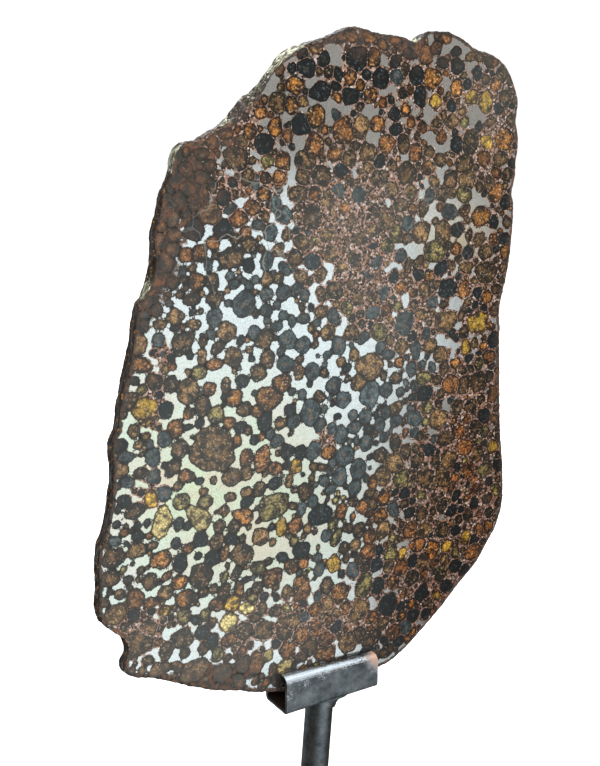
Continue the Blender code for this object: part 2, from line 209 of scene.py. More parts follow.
            (517, 1065, 76, 86), (450, 1130, 78, 82), (602, 1112, 62, 96, 20), (640, 1042, 62, 72),
            (315, 1140, 50, 88), (370, 1172, 80, 122), (700, 1090, 66, 72), (810, 1077, 100, 96),
            (625, 1190, 50, 66), (812, 1160, 56, 62), (520, 1222, 72, 102), (390, 1302, 110, 112),
            (360, 1430, 92, 124), (470, 1385, 96, 130), (350, 640, 90, 110), (880, 560, 50, 80),
            (200, 130, 110, 100)],
        "black": [(1012, 292, 98, 125, -40), (1190, 320, 52, 62), (1175, 390, 42, 50),
            (685, 222, 60, 92), (835, 212, 72, 72), (580, 1055, 30, 56), (535, 1140, 62, 62),
            (345, 1065, 62, 40, 15), (900, 1268, 98, 76), (870, 930, 112, 92),
            (1060, 585, 62, 50, -20), (1135, 715, 50, 52), (1290, 600, 70, 90),
            (1230, 1060, 80, 80), (560, 40, 60, 50), (1040, 560, 50, 50)],
        "umber": [(1245, 192, 130, 124), (700, 830, 82, 72), (695, 1225, 60, 130),
            (605, 1296, 86, 88), (1110, 870, 80, 120), (1200, 850, 90, 130), (1070, 1010, 80, 90),
            (1150, 1000, 80, 100), (1180, 1130, 90, 80), (1000, 1200, 90, 90),
            (880, 1440, 120, 110), (760, 1280, 70, 90), (840, 1180, 60, 60), (830, 1330, 70, 110),
            (1240, 70, 80, 90), (1300, 420, 60, 90), (1260, 820, 50, 80), (450, 120, 110, 110),
            (330, 300, 110, 110), (90, 110, 90, 100)],
        "brown": [(875, 302, 82, 92), (905, 640, 72, 88), (970, 692, 80, 92),
            (1000, 492, 140, 118), (540, 765, 180, 150), (475, 862, 100, 102),
            (692, 1335, 112, 128), (952, 1080, 100, 130), (1190, 1290, 80, 90),
            (1020, 1320, 110, 110), (980, 1440, 110, 110), (620, 1420, 90, 120),
            (290, 560, 90, 90), (430, 560, 90, 90), (250, 430, 80, 80), (660, 600, 60, 70),
            (730, 640, 70, 100), (560, 340, 90, 90)],
        "rust": [(1112, 302, 72, 112), (1075, 1150, 82, 82), (1260, 702, 82, 84),
            (1030, 870, 100, 100), (1110, 1250, 100, 90), (1130, 1390, 90, 90),
            (560, 1460, 60, 90)],
        "orange": [(1247, 345, 62, 84), (1055, 745, 62, 62), (810, 322, 60, 70),
            (1280, 930, 58, 140), (720, 740, 60, 60)],
        "yellow": [(1190, 497, 132, 110), (1120, 640, 58, 92), (1282, 1245, 62, 88)],
        "olive": [(600, 552, 112, 98), (890, 1012, 72, 82), (1230, 1390, 90, 90),
            (730, 1440, 80, 130), (870, 830, 110, 80)],
    },
    (260, 520): {
        "slate": [(560, 302, 66, 108, 10), (880, 640, 60, 90)],
        "black": [(490, 326, 42, 50), (713, 395, 64, 120, 6), (770, 505, 104, 140),
            (975, 442, 88, 98), (920, 572, 82, 92), (832, 730, 92, 60), (1180, 60, 60, 60),
            (700, 270, 80, 80), (720, 180, 50, 60), (920, 250, 60, 80), (1180, 280, 90, 80),
            (1230, 300, 70, 60), (1000, 560, 60, 80), (850, 520, 60, 60), (1120, 400, 80, 70),
            (640, 800, 110, 70), (460, 640, 80, 90), (1290, 110, 60, 60)],
        "umber": [(520, 232, 46, 60), (920, 350, 82, 82), (598, 690, 82, 92), (655, 730, 82, 92),
            (1100, 60, 80, 80), (600, 240, 60, 70), (640, 280, 70, 70), (600, 60, 80, 90),
            (1010, 500, 60, 60), (760, 790, 110, 70), (700, 700, 60, 90), (150, 680, 90, 90)],
        "brown": [(588, 545, 102, 158, -25), (742, 622, 62, 78), (540, 730, 105, 130),
            (775, 280, 58, 88), (742, 62, 74, 110, -20), (990, 60, 90, 90), (570, 150, 70, 70),
            (980, 250, 80, 90), (1110, 240, 60, 70), (470, 560, 70, 60)],
        "rust": [(802, 372, 76, 80), (680, 586, 80, 86), (806, 676, 80, 88), (335, 655, 100, 110),
            (390, 800, 120, 100), (848, 286, 74, 112), (1290, 192, 110, 82), (985, 330, 52, 72),
            (950, 150, 90, 90), (900, 60, 90, 90), (650, 190, 110, 90), (660, 100, 80, 90),
            (250, 700, 90, 90), (1320, 60, 90, 90)],
        "orange": [(480, 445, 110, 130), (510, 530, 78, 100), (868, 446, 46, 58),
            (1035, 186, 82, 120), (922, 512, 90, 66), (858, 580, 70, 62), (1045, 550, 74, 58, -30),
            (990, 630, 50, 36, -30), (1370, 40, 70, 90)],
        "yellow": [(857, 200, 46, 66), (1130, 160, 84, 82), (1242, 108, 60, 92),
            (1060, 456, 64, 60)],
        "olive": [(630, 398, 92, 158, 10), (785, 202, 76, 110), (1178, 195, 50, 80),
            (1085, 330, 70, 130)],
    },
}

# Patches of bare metal, read the same way
metalSeen = {
    (280, 240): [(45, 380, 70, 80), (100, 520, 80, 60), (245, 650, 60, 60), (310, 760, 50, 60),
        (395, 730, 35, 90), (530, 640, 110, 90), (130, 850, 110, 60), (200, 900, 60, 80),
        (370, 860, 30, 50), (430, 900, 60, 60), (460, 960, 60, 90), (620, 850, 60, 40),
        (600, 920, 16, 120), (560, 1010, 60, 50), (380, 1090, 90, 80), (300, 1040, 70, 50),
        (650, 1110, 50, 90), (100, 1190, 150, 60), (160, 1370, 100, 90), (110, 1440, 80, 80),
        (415, 1410, 40, 130), (450, 1300, 50, 40), (580, 1370, 60, 90), (630, 1230, 60, 60),
        (760, 360, 60, 100), (810, 70, 110, 90), (930, 150, 90, 60), (680, 170, 110, 70),
        (290, 180, 60, 110), (280, 440, 40, 70), (955, 370, 25, 130), (1060, 380, 80, 80),
        (1070, 470, 25, 150), (900, 590, 60, 80), (980, 610, 80, 60), (850, 710, 30, 70),
        (930, 740, 60, 40), (1000, 1020, 50, 130), (920, 1160, 70, 50), (1060, 960, 40, 30),
        (815, 1130, 90, 30), (700, 780, 90, 30), (710, 700, 30, 50), (690, 440, 40, 60),
        (870, 510, 25, 60)],
    (280, 10): [(320, 290, 120, 130), (470, 130, 30, 80), (600, 300, 70, 60), (905, 195, 30, 110),
        (1055, 205, 20, 60), (1000, 460, 50, 130), (890, 630, 60, 110), (540, 600, 130, 90),
        (300, 600, 90, 120), (1190, 640, 110, 170), (910, 780, 110, 80), (990, 820, 80, 100),
        (750, 890, 70, 110), (120, 830, 60, 100), (80, 1000, 40, 170), (20, 1120, 50, 120),
        (560, 760, 70, 80), (1010, 950, 50, 50), (880, 1075, 35, 100), (655, 1145, 35, 90),
        (760, 1155, 40, 50), (1150, 1140, 170, 120), (1060, 1150, 90, 60), (950, 1230, 90, 60),
        (930, 1365, 70, 70), (1075, 1380, 90, 80), (810, 1440, 100, 70), (700, 1425, 80, 40),
        (1340, 1290, 60, 100), (1350, 940, 60, 30), (470, 1000, 60, 40), (610, 1225, 30, 50),
        (740, 1290, 40, 90)],
    (80, 10): [(880, 850, 60, 50), (845, 905, 35, 40), (1065, 885, 50, 50), (1040, 940, 60, 35),
        (920, 1000, 40, 50), (865, 1000, 20, 50), (990, 1015, 50, 30), (830, 965, 30, 20),
        (1180, 975, 90, 50), (1280, 1010, 40, 140), (1280, 900, 30, 120), (1215, 840, 60, 40),
        (960, 1150, 80, 80), (1010, 1140, 40, 30), (875, 1220, 45, 60), (780, 1300, 60, 30),
        (760, 1370, 90, 90), (615, 1350, 30, 90), (600, 1285, 16, 60), (570, 1185, 60, 30),
        (705, 1020, 25, 35), (1040, 1290, 50, 40), (1240, 1150, 40, 60), (1265, 1190, 40, 50),
        (1190, 1370, 50, 90), (1130, 1420, 40, 40), (990, 1430, 40, 80), (1280, 1310, 40, 40),
        (1280, 1380, 30, 60), (1150, 1250, 40, 50), (550, 1480, 60, 50), (1120, 700, 60, 110),
        (1170, 440, 40, 120), (1260, 640, 60, 80), (1420, 560, 130, 60), (1395, 440, 50, 80)],
    (260, 520): [(140, 170, 120, 120), (60, 200, 100, 90), (310, 150, 80, 110),
        (400, 170, 110, 80), (520, 100, 60, 90), (400, 300, 40, 90), (500, 240, 40, 60),
        (550, 235, 60, 30), (450, 350, 60, 100), (180, 370, 60, 90), (120, 420, 60, 50),
        (310, 490, 40, 50), (400, 500, 50, 60), (545, 460, 60, 80), (680, 500, 60, 90),
        (640, 560, 30, 60), (440, 560, 60, 40), (425, 690, 60, 80), (60, 500, 60, 50),
        (70, 590, 60, 60), (165, 710, 80, 100), (100, 800, 80, 110), (40, 770, 50, 50),
        (40, 900, 50, 80), (470, 800, 30, 40), (610, 770, 40, 40), (690, 320, 60, 50),
        (800, 430, 90, 60), (880, 630, 60, 90), (740, 270, 30, 70), (60, 90, 50, 60),
        (640, 170, 30, 40)],
}

# The outer part of a grain and its heart. Warmth sets how much grit and painted glint it shows.
grainLooks = {
    # slate: dark blue-grey olivine, its colour lifted lighter and bluer by a painted reflection
    "slate": {"core": "#414f53", "warmth": 0.05, "heart": "#66574a"},
    "black": {"core": "#141d21", "warmth": 0.00, "heart": "#3b372e"},
    "umber": {"core": "#3a2f21", "warmth": 0.40, "heart": "#73573a"},
    "brown": {"core": "#5e4a32", "warmth": 0.55, "heart": "#93734c"},
    "rust": {"core": "#56351f", "warmth": 0.66, "heart": "#946438"},
    "orange": {"core": "#402818", "warmth": 0.70, "heart": "#a06c34"},
    "yellow": {"core": "#6d461c", "warmth": 0.88, "heart": "#b8963c"},
    "gold": {"core": "#8f7a46", "warmth": 0.90, "heart": "#cfbf80"},
    "olive": {"core": "#524a2d", "warmth": 0.55, "heart": "#968a55"},
}

# Soft regions of the face: (x, height, reach along x, reach along height, strength)
regions = {
    # metal left open between the seen grains
    "openMetal": [(-47, 247, 40, 20, 0.96), (-62, 200, 40, 30, 0.8), (-25, 205, 30, 26, 0.55),
        (-72, 177, 20, 15, 0.9), (-72, 222, 18, 14, 0.85), (-70, 150, 30, 24, 0.4),
        (-20, 160, 28, 24, 0.1), (-32, 126, 34, 12, 0.65), (-70, 128, 20, 12, 0.4),
        (48, 294, 18, 9, 0.9), (45, 240, 12, 9, 0.8), (12, 338, 24, 12, 0.6),
        (52, 332, 12, 14, 0.6)],
    # rusty granules in place of metal
    "granules": [(30, 335, 60, 24, 0.5), (66, 270, 26, 60, 0.45), (52, 160, 44, 60, 0.3),
        (-20, 125, 70, 18, 0.3), (-50, 315, 34, 14, 0.35), (-58, 298, 12, 12, 0.7),
        (0, 350, 60, 14, 0.25), (-84, 241, 5, 6, 0.9), (-12, 290, 24, 20, 0.95),
        (8, 268, 26, 22, 0.95), (12, 306, 26, 14, 0.7), (30, 250, 16, 14, 0.75),
        (-86, 222, 5, 12, 0.85), (62, 215, 20, 26, 0.6), (78, 165, 12, 40, 0.7),
        (60, 128, 16, 26, 0.6), (48, 180, 26, 30, 0.62), (30, 130, 30, 16, 0.62),
        (-88, 134, 14, 10, 0.85), (-60, 325, 16, 9, 0.6), (-40, 300, 12, 9, 0.55),
        (65, 330, 14, 26, 0.6), (-9, 203, 6, 6, 0.9), (0, 122, 30, 12, 0.6),
        (-12, 352, 22, 8, 0.5), (50, 262, 22, 10, 0.5), (-28, 128, 22, 12, 0.45),
        (-86, 190, 9, 10, 0.6)],
    # brown rust that has soaked into the metal along the left edge and the foot
    "rust": [(-86, 283, 11, 26, 0.97), (-74, 300, 12, 14, 0.9), (-66, 318, 12, 8, 0.8),
        (-92, 262, 6, 16, 0.8), (-97, 240, 5, 12, 0.7), (-60, 108, 46, 8, 0.85),
        (-92, 150, 10, 10, 0.5), (-10, 360, 34, 5, 0.8), (18, 358, 20, 5, 0.7),
        (80, 200, 4, 60, 0.5)],
    # painted shade: darker stone and metal towards the right edge and at the foot beside the bracket
    "shadow": [(80, 180, 34, 60, 0.6), (60, 122, 40, 28, 0.75), (90, 270, 12, 60, 0.5),
        (45, 160, 30, 40, 0.15), (-18, 99, 16, 8, 0.8)],
    # painted sheen: paler, greyer stone, as a reflection of bright light lifts the dark grains, mostly in
    # the middle of the slab
    "paintedSheen": [(-2, 285, 30, 34, 0.9), (18, 250, 22, 20, 0.6), (30, 300, 26, 16, 0.5),
        (-55, 125, 60, 34, 0.95), (-55, 230, 44, 50, 0.75), (-72, 185, 34, 26, 0.7),
        (22, 212, 24, 28, 0.6), (62, 345, 20, 24, 0.9)],
    # duller, greyer metal
    "greyed": [(10, 340, 80, 30, 0.15), (60, 300, 26, 60, 0.1), (55, 180, 34, 50, 0.4),
        (-30, 320, 30, 14, 0.3), (-28, 170, 36, 34, 0.4)],
    # a faint yellow-green film on the metal
    "goldFilm": [(-70, 188, 26, 18, 0.9), (-55, 215, 30, 20, 0.55), (-50, 165, 60, 34, 0.7),
        (-90, 215, 16, 30, 0.6), (48, 284, 16, 8, 0.8), (-30, 200, 20, 20, 0.4)],
    # pale fractures across the face
    "fissures": [(-50, 288, 24, 30, 0.95), (-60, 190, 40, 30, 0.25), (40, 300, 40, 40, 0.3)],
    # bare, pale metal and stone showing through the crust of the rim
    "paleCrust": [(-42, 349, 8, 8, 0.95), (-53, 337, 12, 9, 0.42), (-34, 354, 9, 5, 0.6),
        (-63, 327, 4, 4, 0.9), (-70, 324, 6, 4, 0.5), (-82, 311, 5, 6, 0.9), (-91, 264, 3, 6, 0.9),
        (48, 361, 14, 5, 0.7), (20, 362, 4, 3, 0.8), (-92, 117, 8, 5, 0.6)],
}

# What the filling grains are, by region: (x, height, reach) and the share of each look
palettes = [
    ((-84, 285, 22), {"umber": 5, "rust": 3, "brown": 2, "black": 1}),
    ((-55, 320, 22), {"rust": 4, "umber": 3, "orange": 1, "slate": 1}),
    ((-10, 345, 30), {"black": 4, "slate": 1, "rust": 2, "orange": 1, "umber": 2}),
    ((50, 340, 34), {"black": 2, "umber": 3, "rust": 2, "brown": 2, "orange": 1, "yellow": 0.5}),
    ((0, 285, 30), {"umber": 4, "brown": 4, "slate": 0.6, "rust": 1.5, "olive": 1}),
    ((60, 260, 26), {"umber": 4, "black": 2, "brown": 2, "rust": 1, "orange": 0.6}),
    ((-45, 245, 34), {"slate": 6, "brown": 2, "black": 0.7, "umber": 1}),
    ((10, 210, 30), {"slate": 5, "umber": 2, "black": 1, "brown": 1}),
    ((60, 180, 34), {"umber": 5, "rust": 2, "black": 2, "olive": 1, "orange": 0.6}),
    ((-70, 190, 30), {"umber": 3, "slate": 1, "black": 1, "brown": 2, "orange": 1, "olive": 1}),
    ((-70, 140, 34), {"umber": 3, "rust": 1.5, "black": 1.5, "orange": 1, "brown": 1.5,
                      "yellow": 0.8, "olive": 1.2}),
    ((0, 145, 34), {"umber": 4, "rust": 2, "slate": 0.5, "olive": 1, "orange": 0.6}),
    ((55, 130, 30), {"black": 3, "umber": 3, "rust": 2, "orange": 0.6}),
]


def linear(hexColour):
    channels = [int(hexColour[i:i + 2], 16) / 255 for i in (1, 3, 5)]
    return [c / 12.92 if c <= 0.04045 else ((c + 0.055) / 1.055) ** 2.4 for c in channels] + [1.0]


def addNode(tree, kind, *inputs, out=0, **settings):
    # inputs fill the sockets in order; a setting is one of the node's own properties or a
    # socket's name. A socket given as a value is linked. Returns the output that is asked for.
    node = tree.nodes.new("ShaderNode" + kind)
    sockets = dict(enumerate(inputs))
    for name, value in settings.items():
        if name in node.bl_rna.properties:
            setattr(node, name, value)
        else:
            sockets[name] = value
    for name, value in sockets.items():
        if isinstance(value, bpy.types.NodeSocket):
            tree.links.new(value, node.inputs[name])
        else:
            node.inputs[name].default_value = value
    return node.outputs[out]


def newMaterial(name, constants, fieldNames=()):
    # a material with its place in millimetres and the mesh fields that it reads
    material = bpy.data.materials.new(name)
    material.use_nodes = True
    tree = material.node_tree
    shader = tree.nodes["Principled BSDF"]
    for socket, value in constants.items():
        shader.inputs[socket].default_value = value
    whole = addNode(tree, "TexCoord", out="Object")
    place = addNode(tree, "VectorMath", whole, operation="SCALE", Scale=1 / mm)
    fields = {field: addNode(tree, "Attribute", attribute_name=field, out="Fac")
              for field in fieldNames}
    return material, tree, shader, place, fields


def connect(tree, shader, wires):
    for socket, value in wires.items():
        tree.links.new(value, shader.inputs[socket])


def regionStrength(points, name):
    clear = np.ones(len(points))
    for x, height, reachX, reachHeight, strength in regions[name]:
        away = ((points[:, 0] - x) / reachX) ** 2 + ((points[:, 1] - height) / reachHeight) ** 2
        clear *= 1 - strength * np.exp(-away)
    return 1 - clear


def cameraAxes():
    # the camera's place in millimetres and its right, up and back directions
    azimuth, elevation, roll = (math.radians(cameraStand[k]) for k in ("azimuth", "elevation", "roll"))
    back = Vector((math.sin(azimuth) * math.cos(elevation),
                   -math.cos(azimuth) * math.cos(elevation), math.sin(elevation)))
    level = Vector((math.cos(azimuth), math.sin(azimuth), 0))
    upright = back.cross(level)
    right = level * math.cos(roll) + upright * math.sin(roll)
    up = upright * math.cos(roll) - level * math.sin(roll)
    return Vector(cameraStand["aim"]) + back * cameraStand["distance"], right, up, back


def onFace(pixelX, pixelY):
    # where a pixel of the photograph falls on the slab's front face
    place, right, up, back = cameraAxes()
    width, tall = cameraStand["photo"]
    reach = cameraStand["lens"] / cameraStand["sensor"] * tall
    ray = right * (pixelX - width / 2) - up * (pixelY - tall / 2) - back * reach
    far = (faceDepth - place.y) / ray.y
    return np.array((place.x + ray.x * far, place.z + ray.z * far))


def readOff(corner, x, y, width, tall):
    # a reading's middle and half sizes on the slab's front face, in millimetres
    middle, beside, above = (onFace(corner[0] + a / cropScale, corner[1] + b / cropScale)
                             for a, b in ((x, y), (x + width / 2, y), (x, y - tall / 2)))
    return *middle, np.hypot(*(beside - middle)), np.hypot(*(above - middle))


openPatches = [readOff(corner, *reading) for corner, readings in metalSeen.items()
               for reading in readings]


def bareMetal(points, margin=0.0):
    # 1 on the seen patches of metal, falling to 0 from three quarters of their size to one and a
    # quarter
    most = np.zeros(len(points))
    for x, height, across, up in openPatches:
        away = np.hypot((points[:, 0] - x) / (across + margin), (points[:, 1] - height) / (up + margin))
        most = np.maximum(most, np.clip((1.25 - away) / 0.5, 0, 1))
    return most


metalFace, crustFace = -1, -2  # a triangle that isn't part of a grain; a grain's have its number

# The slab as a whole, in millimetres
slab = {
    "rimPiece": 3.4,  # the frame's rim edges are cut into pieces about this long
    "curvePoints": 8,  # points to each of those pieces, once the rim is a smooth curve
    "rimMarks": 60, "pointsPerMark": 16,  # marks round the rim, and points from one to the next
    "rimDepths": (0.05, 0.16, 0.30, 0.44, 0.58, 0.72, 0.85, 0.94),  # rim rows, front to back
    "crustLump": (2.2, 0.34),  # size and height of the crust's lumps
    "arrisChip": (3.0, 0.55, 0.05),  # size and depth of the chips in a face's edge, and how many
    "grainGap": 0.16,  # metal or weathered film left between two grains
    "rimGap": 0.40,
    "frontPointSpacing": 0.8, "backPointSpacing": 1.7,
    "pointsPerGrain": (11, 44),  # fewest and most round its edge
    "metalPointSpacing": 1.25,  # times the spacing of the face's grain points
    "smallest": 0.45,  # a grain that is squeezed to less than this is left out
    "darkRim": 1.0,  # width of the dark weathered rim in a grain
    "filmWidth": (0.6, 1.1),  # gaps as narrow as this are dark seams, and past this bright metal
    "rustedEdge": (3.0, 0.9),  # width of the rust along the rim and its strength
    "backDrift": 0.7,  # a grain's cut on the back lies this far from its cut on the front
    "backSwell": (0.85, 1.12), "backSeed": 23,
    "shadeSpread": 0.22,  # how much lighter or darker one grain is than the next
}


# The rim's loops, read from the frame


def readRimRows(node):
    # every loop of the slab's rim, front to back, each as points (x, height)
    corners = {}
    merged = []
    for vertex in node.data.vertices:
        key = tuple(round(c / mm, 3) for c in vertex.co)
        merged.append(corners.setdefault(key, len(corners)))
    places = list(corners)
    neighbours = {}
    for polygon in node.data.polygons:
        around = [merged[v] for v in polygon.vertices]
        if len({places[v][1] for v in around}) == 1:
            continue  # a triangle of a flat face
        for a, b in zip(around, around[1:] + around[:1]):
            if places[a][1] == places[b][1]:
                neighbours.setdefault(a, set()).add(b)
                neighbours.setdefault(b, set()).add(a)
    rows = []
    for depth in sorted({places[v][1] for v in neighbours}):
        level = [v for v in neighbours if places[v][1] == depth]
        loop = [min(level, key=lambda v: len(neighbours[v]))]
        while ahead := [v for v in neighbours[loop[-1]] if v not in loop]:
            loop.append(ahead[0])
        points = []
        for a, b in zip(loop, loop[1:] + loop[:1]):
            a, b = (np.array(places[v][::2]) for v in (a, b))
            pieces = max(1, round(np.hypot(*(b - a)) / slab["rimPiece"]))
            points += [a + (b - a) * k / pieces for k in range(pieces)]
        points = np.array(points)
        x, height = points.T
        if (x * np.roll(height, -1) - np.roll(x, -1) * height).sum() > 0:
            points = points[::-1]  # clockwise as the front sees it
        rows.append((depth, points))
    return rows


def smoothLoop(points, step):
    # a closed Catmull-Rom curve with step points to each stretch
    before, after, beyond = (np.roll(points, k, axis=0) for k in (1, -1, -2))
    curve = []
    for i in range(step):
        t = i / step
        curve.append(0.5 * (2 * points + (after - before) * t
                            + (2 * before - 5 * points + 4 * after - beyond) * t ** 2
                            + (3 * points - before - 3 * after + beyond) * t ** 3))
    return np.stack(curve, axis=1).reshape(-1, 2)


def matchLoops(curves, marks, perMark):
    # evenly spaced points on every curve, each beside the same point of the first
    lead = curves[0][::len(curves[0]) // marks][:marks]
    matched = []
    for curve in curves:
        beside = [int(np.hypot(*(curve - place).T).argmin()) for place in lead]
        curve = np.roll(curve, -beside[0], axis=0)
        beside = [(k - beside[0]) % len(curve) for k in beside]
        run = np.concatenate(([0.0], np.cumsum(np.hypot(*(np.roll(curve, -1, axis=0) - curve).T))))
        closed = np.vstack((curve, curve[:1]))
        stops = [run[a] + (run[b] - run[a]) * k / perMark
                 for a, b in zip(beside, beside[1:] + [len(curve)]) for k in range(perMark)]
        matched.append(np.stack([np.interp(stops, run, closed[:, c]) for c in (0, 1)], axis=1))
    return matched


def outwardOf(loop):
    along = np.roll(loop, -1, axis=0) - np.roll(loop, 1, axis=0)
    out = np.stack((-along[:, 1], along[:, 0]), axis=1)
    return out / np.linalg.norm(out, axis=1)[:, None]


def crumble(x, depth, height, size, octaves):
    # rough noise about 0, for places and a size in millimetres
    return noise.fractal(Vector((x, depth * 1.6, height)) / size, 1.0, 2.0, octaves)


def buildRim(node):
    # rows of points from the front face's edge to the back face's edge
    loops = readRimRows(node)
    depths = [depth for depth, loop in loops]
    curves = [smoothLoop(loop, slab["curvePoints"]) for depth, loop in loops]
    curves = matchLoops(curves, slab["rimMarks"], slab["pointsPerMark"])
    lump, lumpHeight = slab["crustLump"]
    chip, chipDepth, chipShare = slab["arrisChip"]
    rows = []
    for share in (0.0, *slab["rimDepths"], 1.0):
        depth = depths[0] + share * (depths[-1] - depths[0])
        upper = min(max(1, sum(d < depth for d in depths)), len(depths) - 1)
        between = (depth - depths[upper - 1]) / (depths[upper] - depths[upper - 1])
        row = curves[upper - 1] * (1 - between) + curves[upper] * between
        moved = []
        for (x, height), (outX, outZ) in zip(row, outwardOf(row)):
            if share in (0.0, 1.0):
                bite = max(0.0, crumble(x, depth, height, chip, 3) + chipShare) * chipDepth
                push = -min(bite, chipDepth)
            else:
                push = crumble(x, depth, height, lump, 4) * lumpHeight
            moved.append((x + outX * push, height + outZ * push))
        rows.append((depth, np.array(moved)))
    return rows


# How a grain is shaped
grainShape = {
    "waves": {2: 0.05, 3: 0.055, 4: 0.045, 5: 0.04, 7: 0.035, 9: 0.03, 12: 0.028, 16: 0.024},
    "coldLumpiness": 0.8, "lumpiness": 1.15,  # times the waves' heights
    "sides": (3, 7), "sideTurn": (-0.25, 0.25), "sideReach": (0.88, 1.16),  # its flat sides
    "squareness": (1.9, 2.3),
    "swell": (1.07, 0.3),  # of every grain, and more where granules crowd it
    "farthest": 1.25,  # times its half size, the most that an edge lies from its middle
}

# How the grains that fill the rest lie: radii from large to small and the tries at each
filling = {
    "radii": ((3.3, 1500), (2.7, 2500), (2.2, 3500), (1.75, 5000), (1.35, 4500), (1.0, 3000)),
    "seed": 11,
    "edgeRoom": 0.75,
    "overlap": 0.82,
    "stretch": (0.75, 1.35), "lean": 0.15,
    "warmFrom": 2.0,  # smaller grains are rusted through
}


def reachOf(grain, angles):
    # how far the grain runs from its middle in each direction
    square = grain["squareness"]

    def oval(ways):
        local = ways - grain["turn"]
        return (np.abs(np.cos(local) / grain["across"]) ** square
                + np.abs(np.sin(local) / grain["up"]) ** square) ** (-1 / square)

    ripple = grain["swell"]
    for wave, (size, phase) in grain["waves"]:
        ripple = ripple + size * np.cos(wave * angles + phase)
    reach = oval(angles) * ripple
    for way, cut in grain["facets"]:  # flat sides
        facing = np.cos(angles - way)
        flat = cut * oval(np.array([way]))[0] / np.maximum(facing, 0.05)
        reach = np.where(facing > 0.3, np.minimum(reach, flat), reach)
    return reach


def makeGrain(x, height, across, up, turn, look, draw):
    lumpiness = grainShape["coldLumpiness" if look in ("slate", "black") else "lumpiness"]
    waves = [(wave, (size * lumpiness * draw.normal(), draw.uniform(0, 2 * math.pi)))
             for wave, size in grainShape["waves"].items()]
    sides = int(draw.integers(*grainShape["sides"]))
    start = draw.uniform(0, 2 * math.pi)
    facets = [(start + (k + draw.uniform(*grainShape["sideTurn"])) * 2 * math.pi / sides,
               draw.uniform(*grainShape["sideReach"])) for k in range(sides)]
    least, more = grainShape["swell"]
    crowded = regionStrength(np.array([(x, height)]), "granules")[0]
    return {"x": x, "height": height, "across": across, "up": up, "turn": turn, "look": look,
            "swell": least + more * crowded, "squareness": draw.uniform(*grainShape["squareness"]),
            "waves": waves, "facets": facets, "seed": draw.uniform(), "shade": draw.normal()}


def insideLoop(points, loop):
    inside = np.zeros(len(points), bool)
    for (x0, z0), (x1, z1) in zip(loop, np.roll(loop, -1, axis=0)):
        crosses = (z0 > points[:, 1]) != (z1 > points[:, 1])
        if z0 != z1:
            inside ^= crosses & (points[:, 0] < x0 + (points[:, 1] - z0) * (x1 - x0) / (z1 - z0))
    return inside


def treeOf(points):
    tree = KDTree(len(points))
    for i, (x, height) in enumerate(points):
        tree.insert((x, height, 0), i)
    tree.balance()
    return tree


def paletteAt(x, height, radius, draw):
    near = [math.exp(-((x - px) ** 2 + (height - pz) ** 2) / reach ** 2) + 1e-9
            for (px, pz, reach), shares in palettes]
    shares = palettes[draw.choice(len(palettes), p=np.array(near) / sum(near))][1]
    weights = np.array(list(shares.values()), float)
    look = str(draw.choice(list(shares), p=weights / weights.sum()))
    return "umber" if radius < filling["warmFrom"] and look in ("orange", "yellow") else look


def layGrains(loop):
    # the listed grains, then smaller ones in the room left between them
    draw = np.random.default_rng(filling["seed"])
    grains = []
    for corner, looks in grainsSeen.items():
        for look, readings in looks.items():
            for reading in readings:
                lean = math.radians(reading[4]) if len(reading) > 4 else draw.normal(0, filling["lean"])
                grains.append(makeGrain(*readOff(corner, *reading[:4]), lean, look, draw))
    inside = insideLoop(np.array([(g["x"], g["height"]) for g in grains]), loop)
    grains = [g for g, within in zip(grains, inside) if within]
    low, high = loop.min(axis=0), loop.max(axis=0)
    rimTree = treeOf(loop)
    middles = np.array([(g["x"], g["height"]) for g in grains])
    sizes = np.array([(g["across"] * g["up"]) ** 0.5 for g in grains])
    for radius, tries in filling["radii"]:
        spots = draw.uniform(low, high, (tries, 2))
        spots = spots[insideLoop(spots, loop)]
        openness = np.maximum(regionStrength(spots, "openMetal"), bareMetal(spots, 0.2 * radius))
        taken = draw.uniform(size=len(spots)) < openness
        for (x, height), metalHere in zip(spots, taken):
            if metalHere or rimTree.find((x, height, 0))[2] < radius * filling["edgeRoom"]:
                continue
            away = np.hypot(middles[:, 0] - x, middles[:, 1] - height)
            if (away < sizes + radius * filling["overlap"]).any():
                continue
            stretch = draw.uniform(*filling["stretch"])
            grains.append(makeGrain(x, height, radius * stretch, radius / stretch,
                                    draw.uniform(0, math.pi), paletteAt(x, height, radius, draw),
                                    draw))
            middles = np.vstack((middles, (x, height)))
            sizes = np.append(sizes, radius)
    return grains


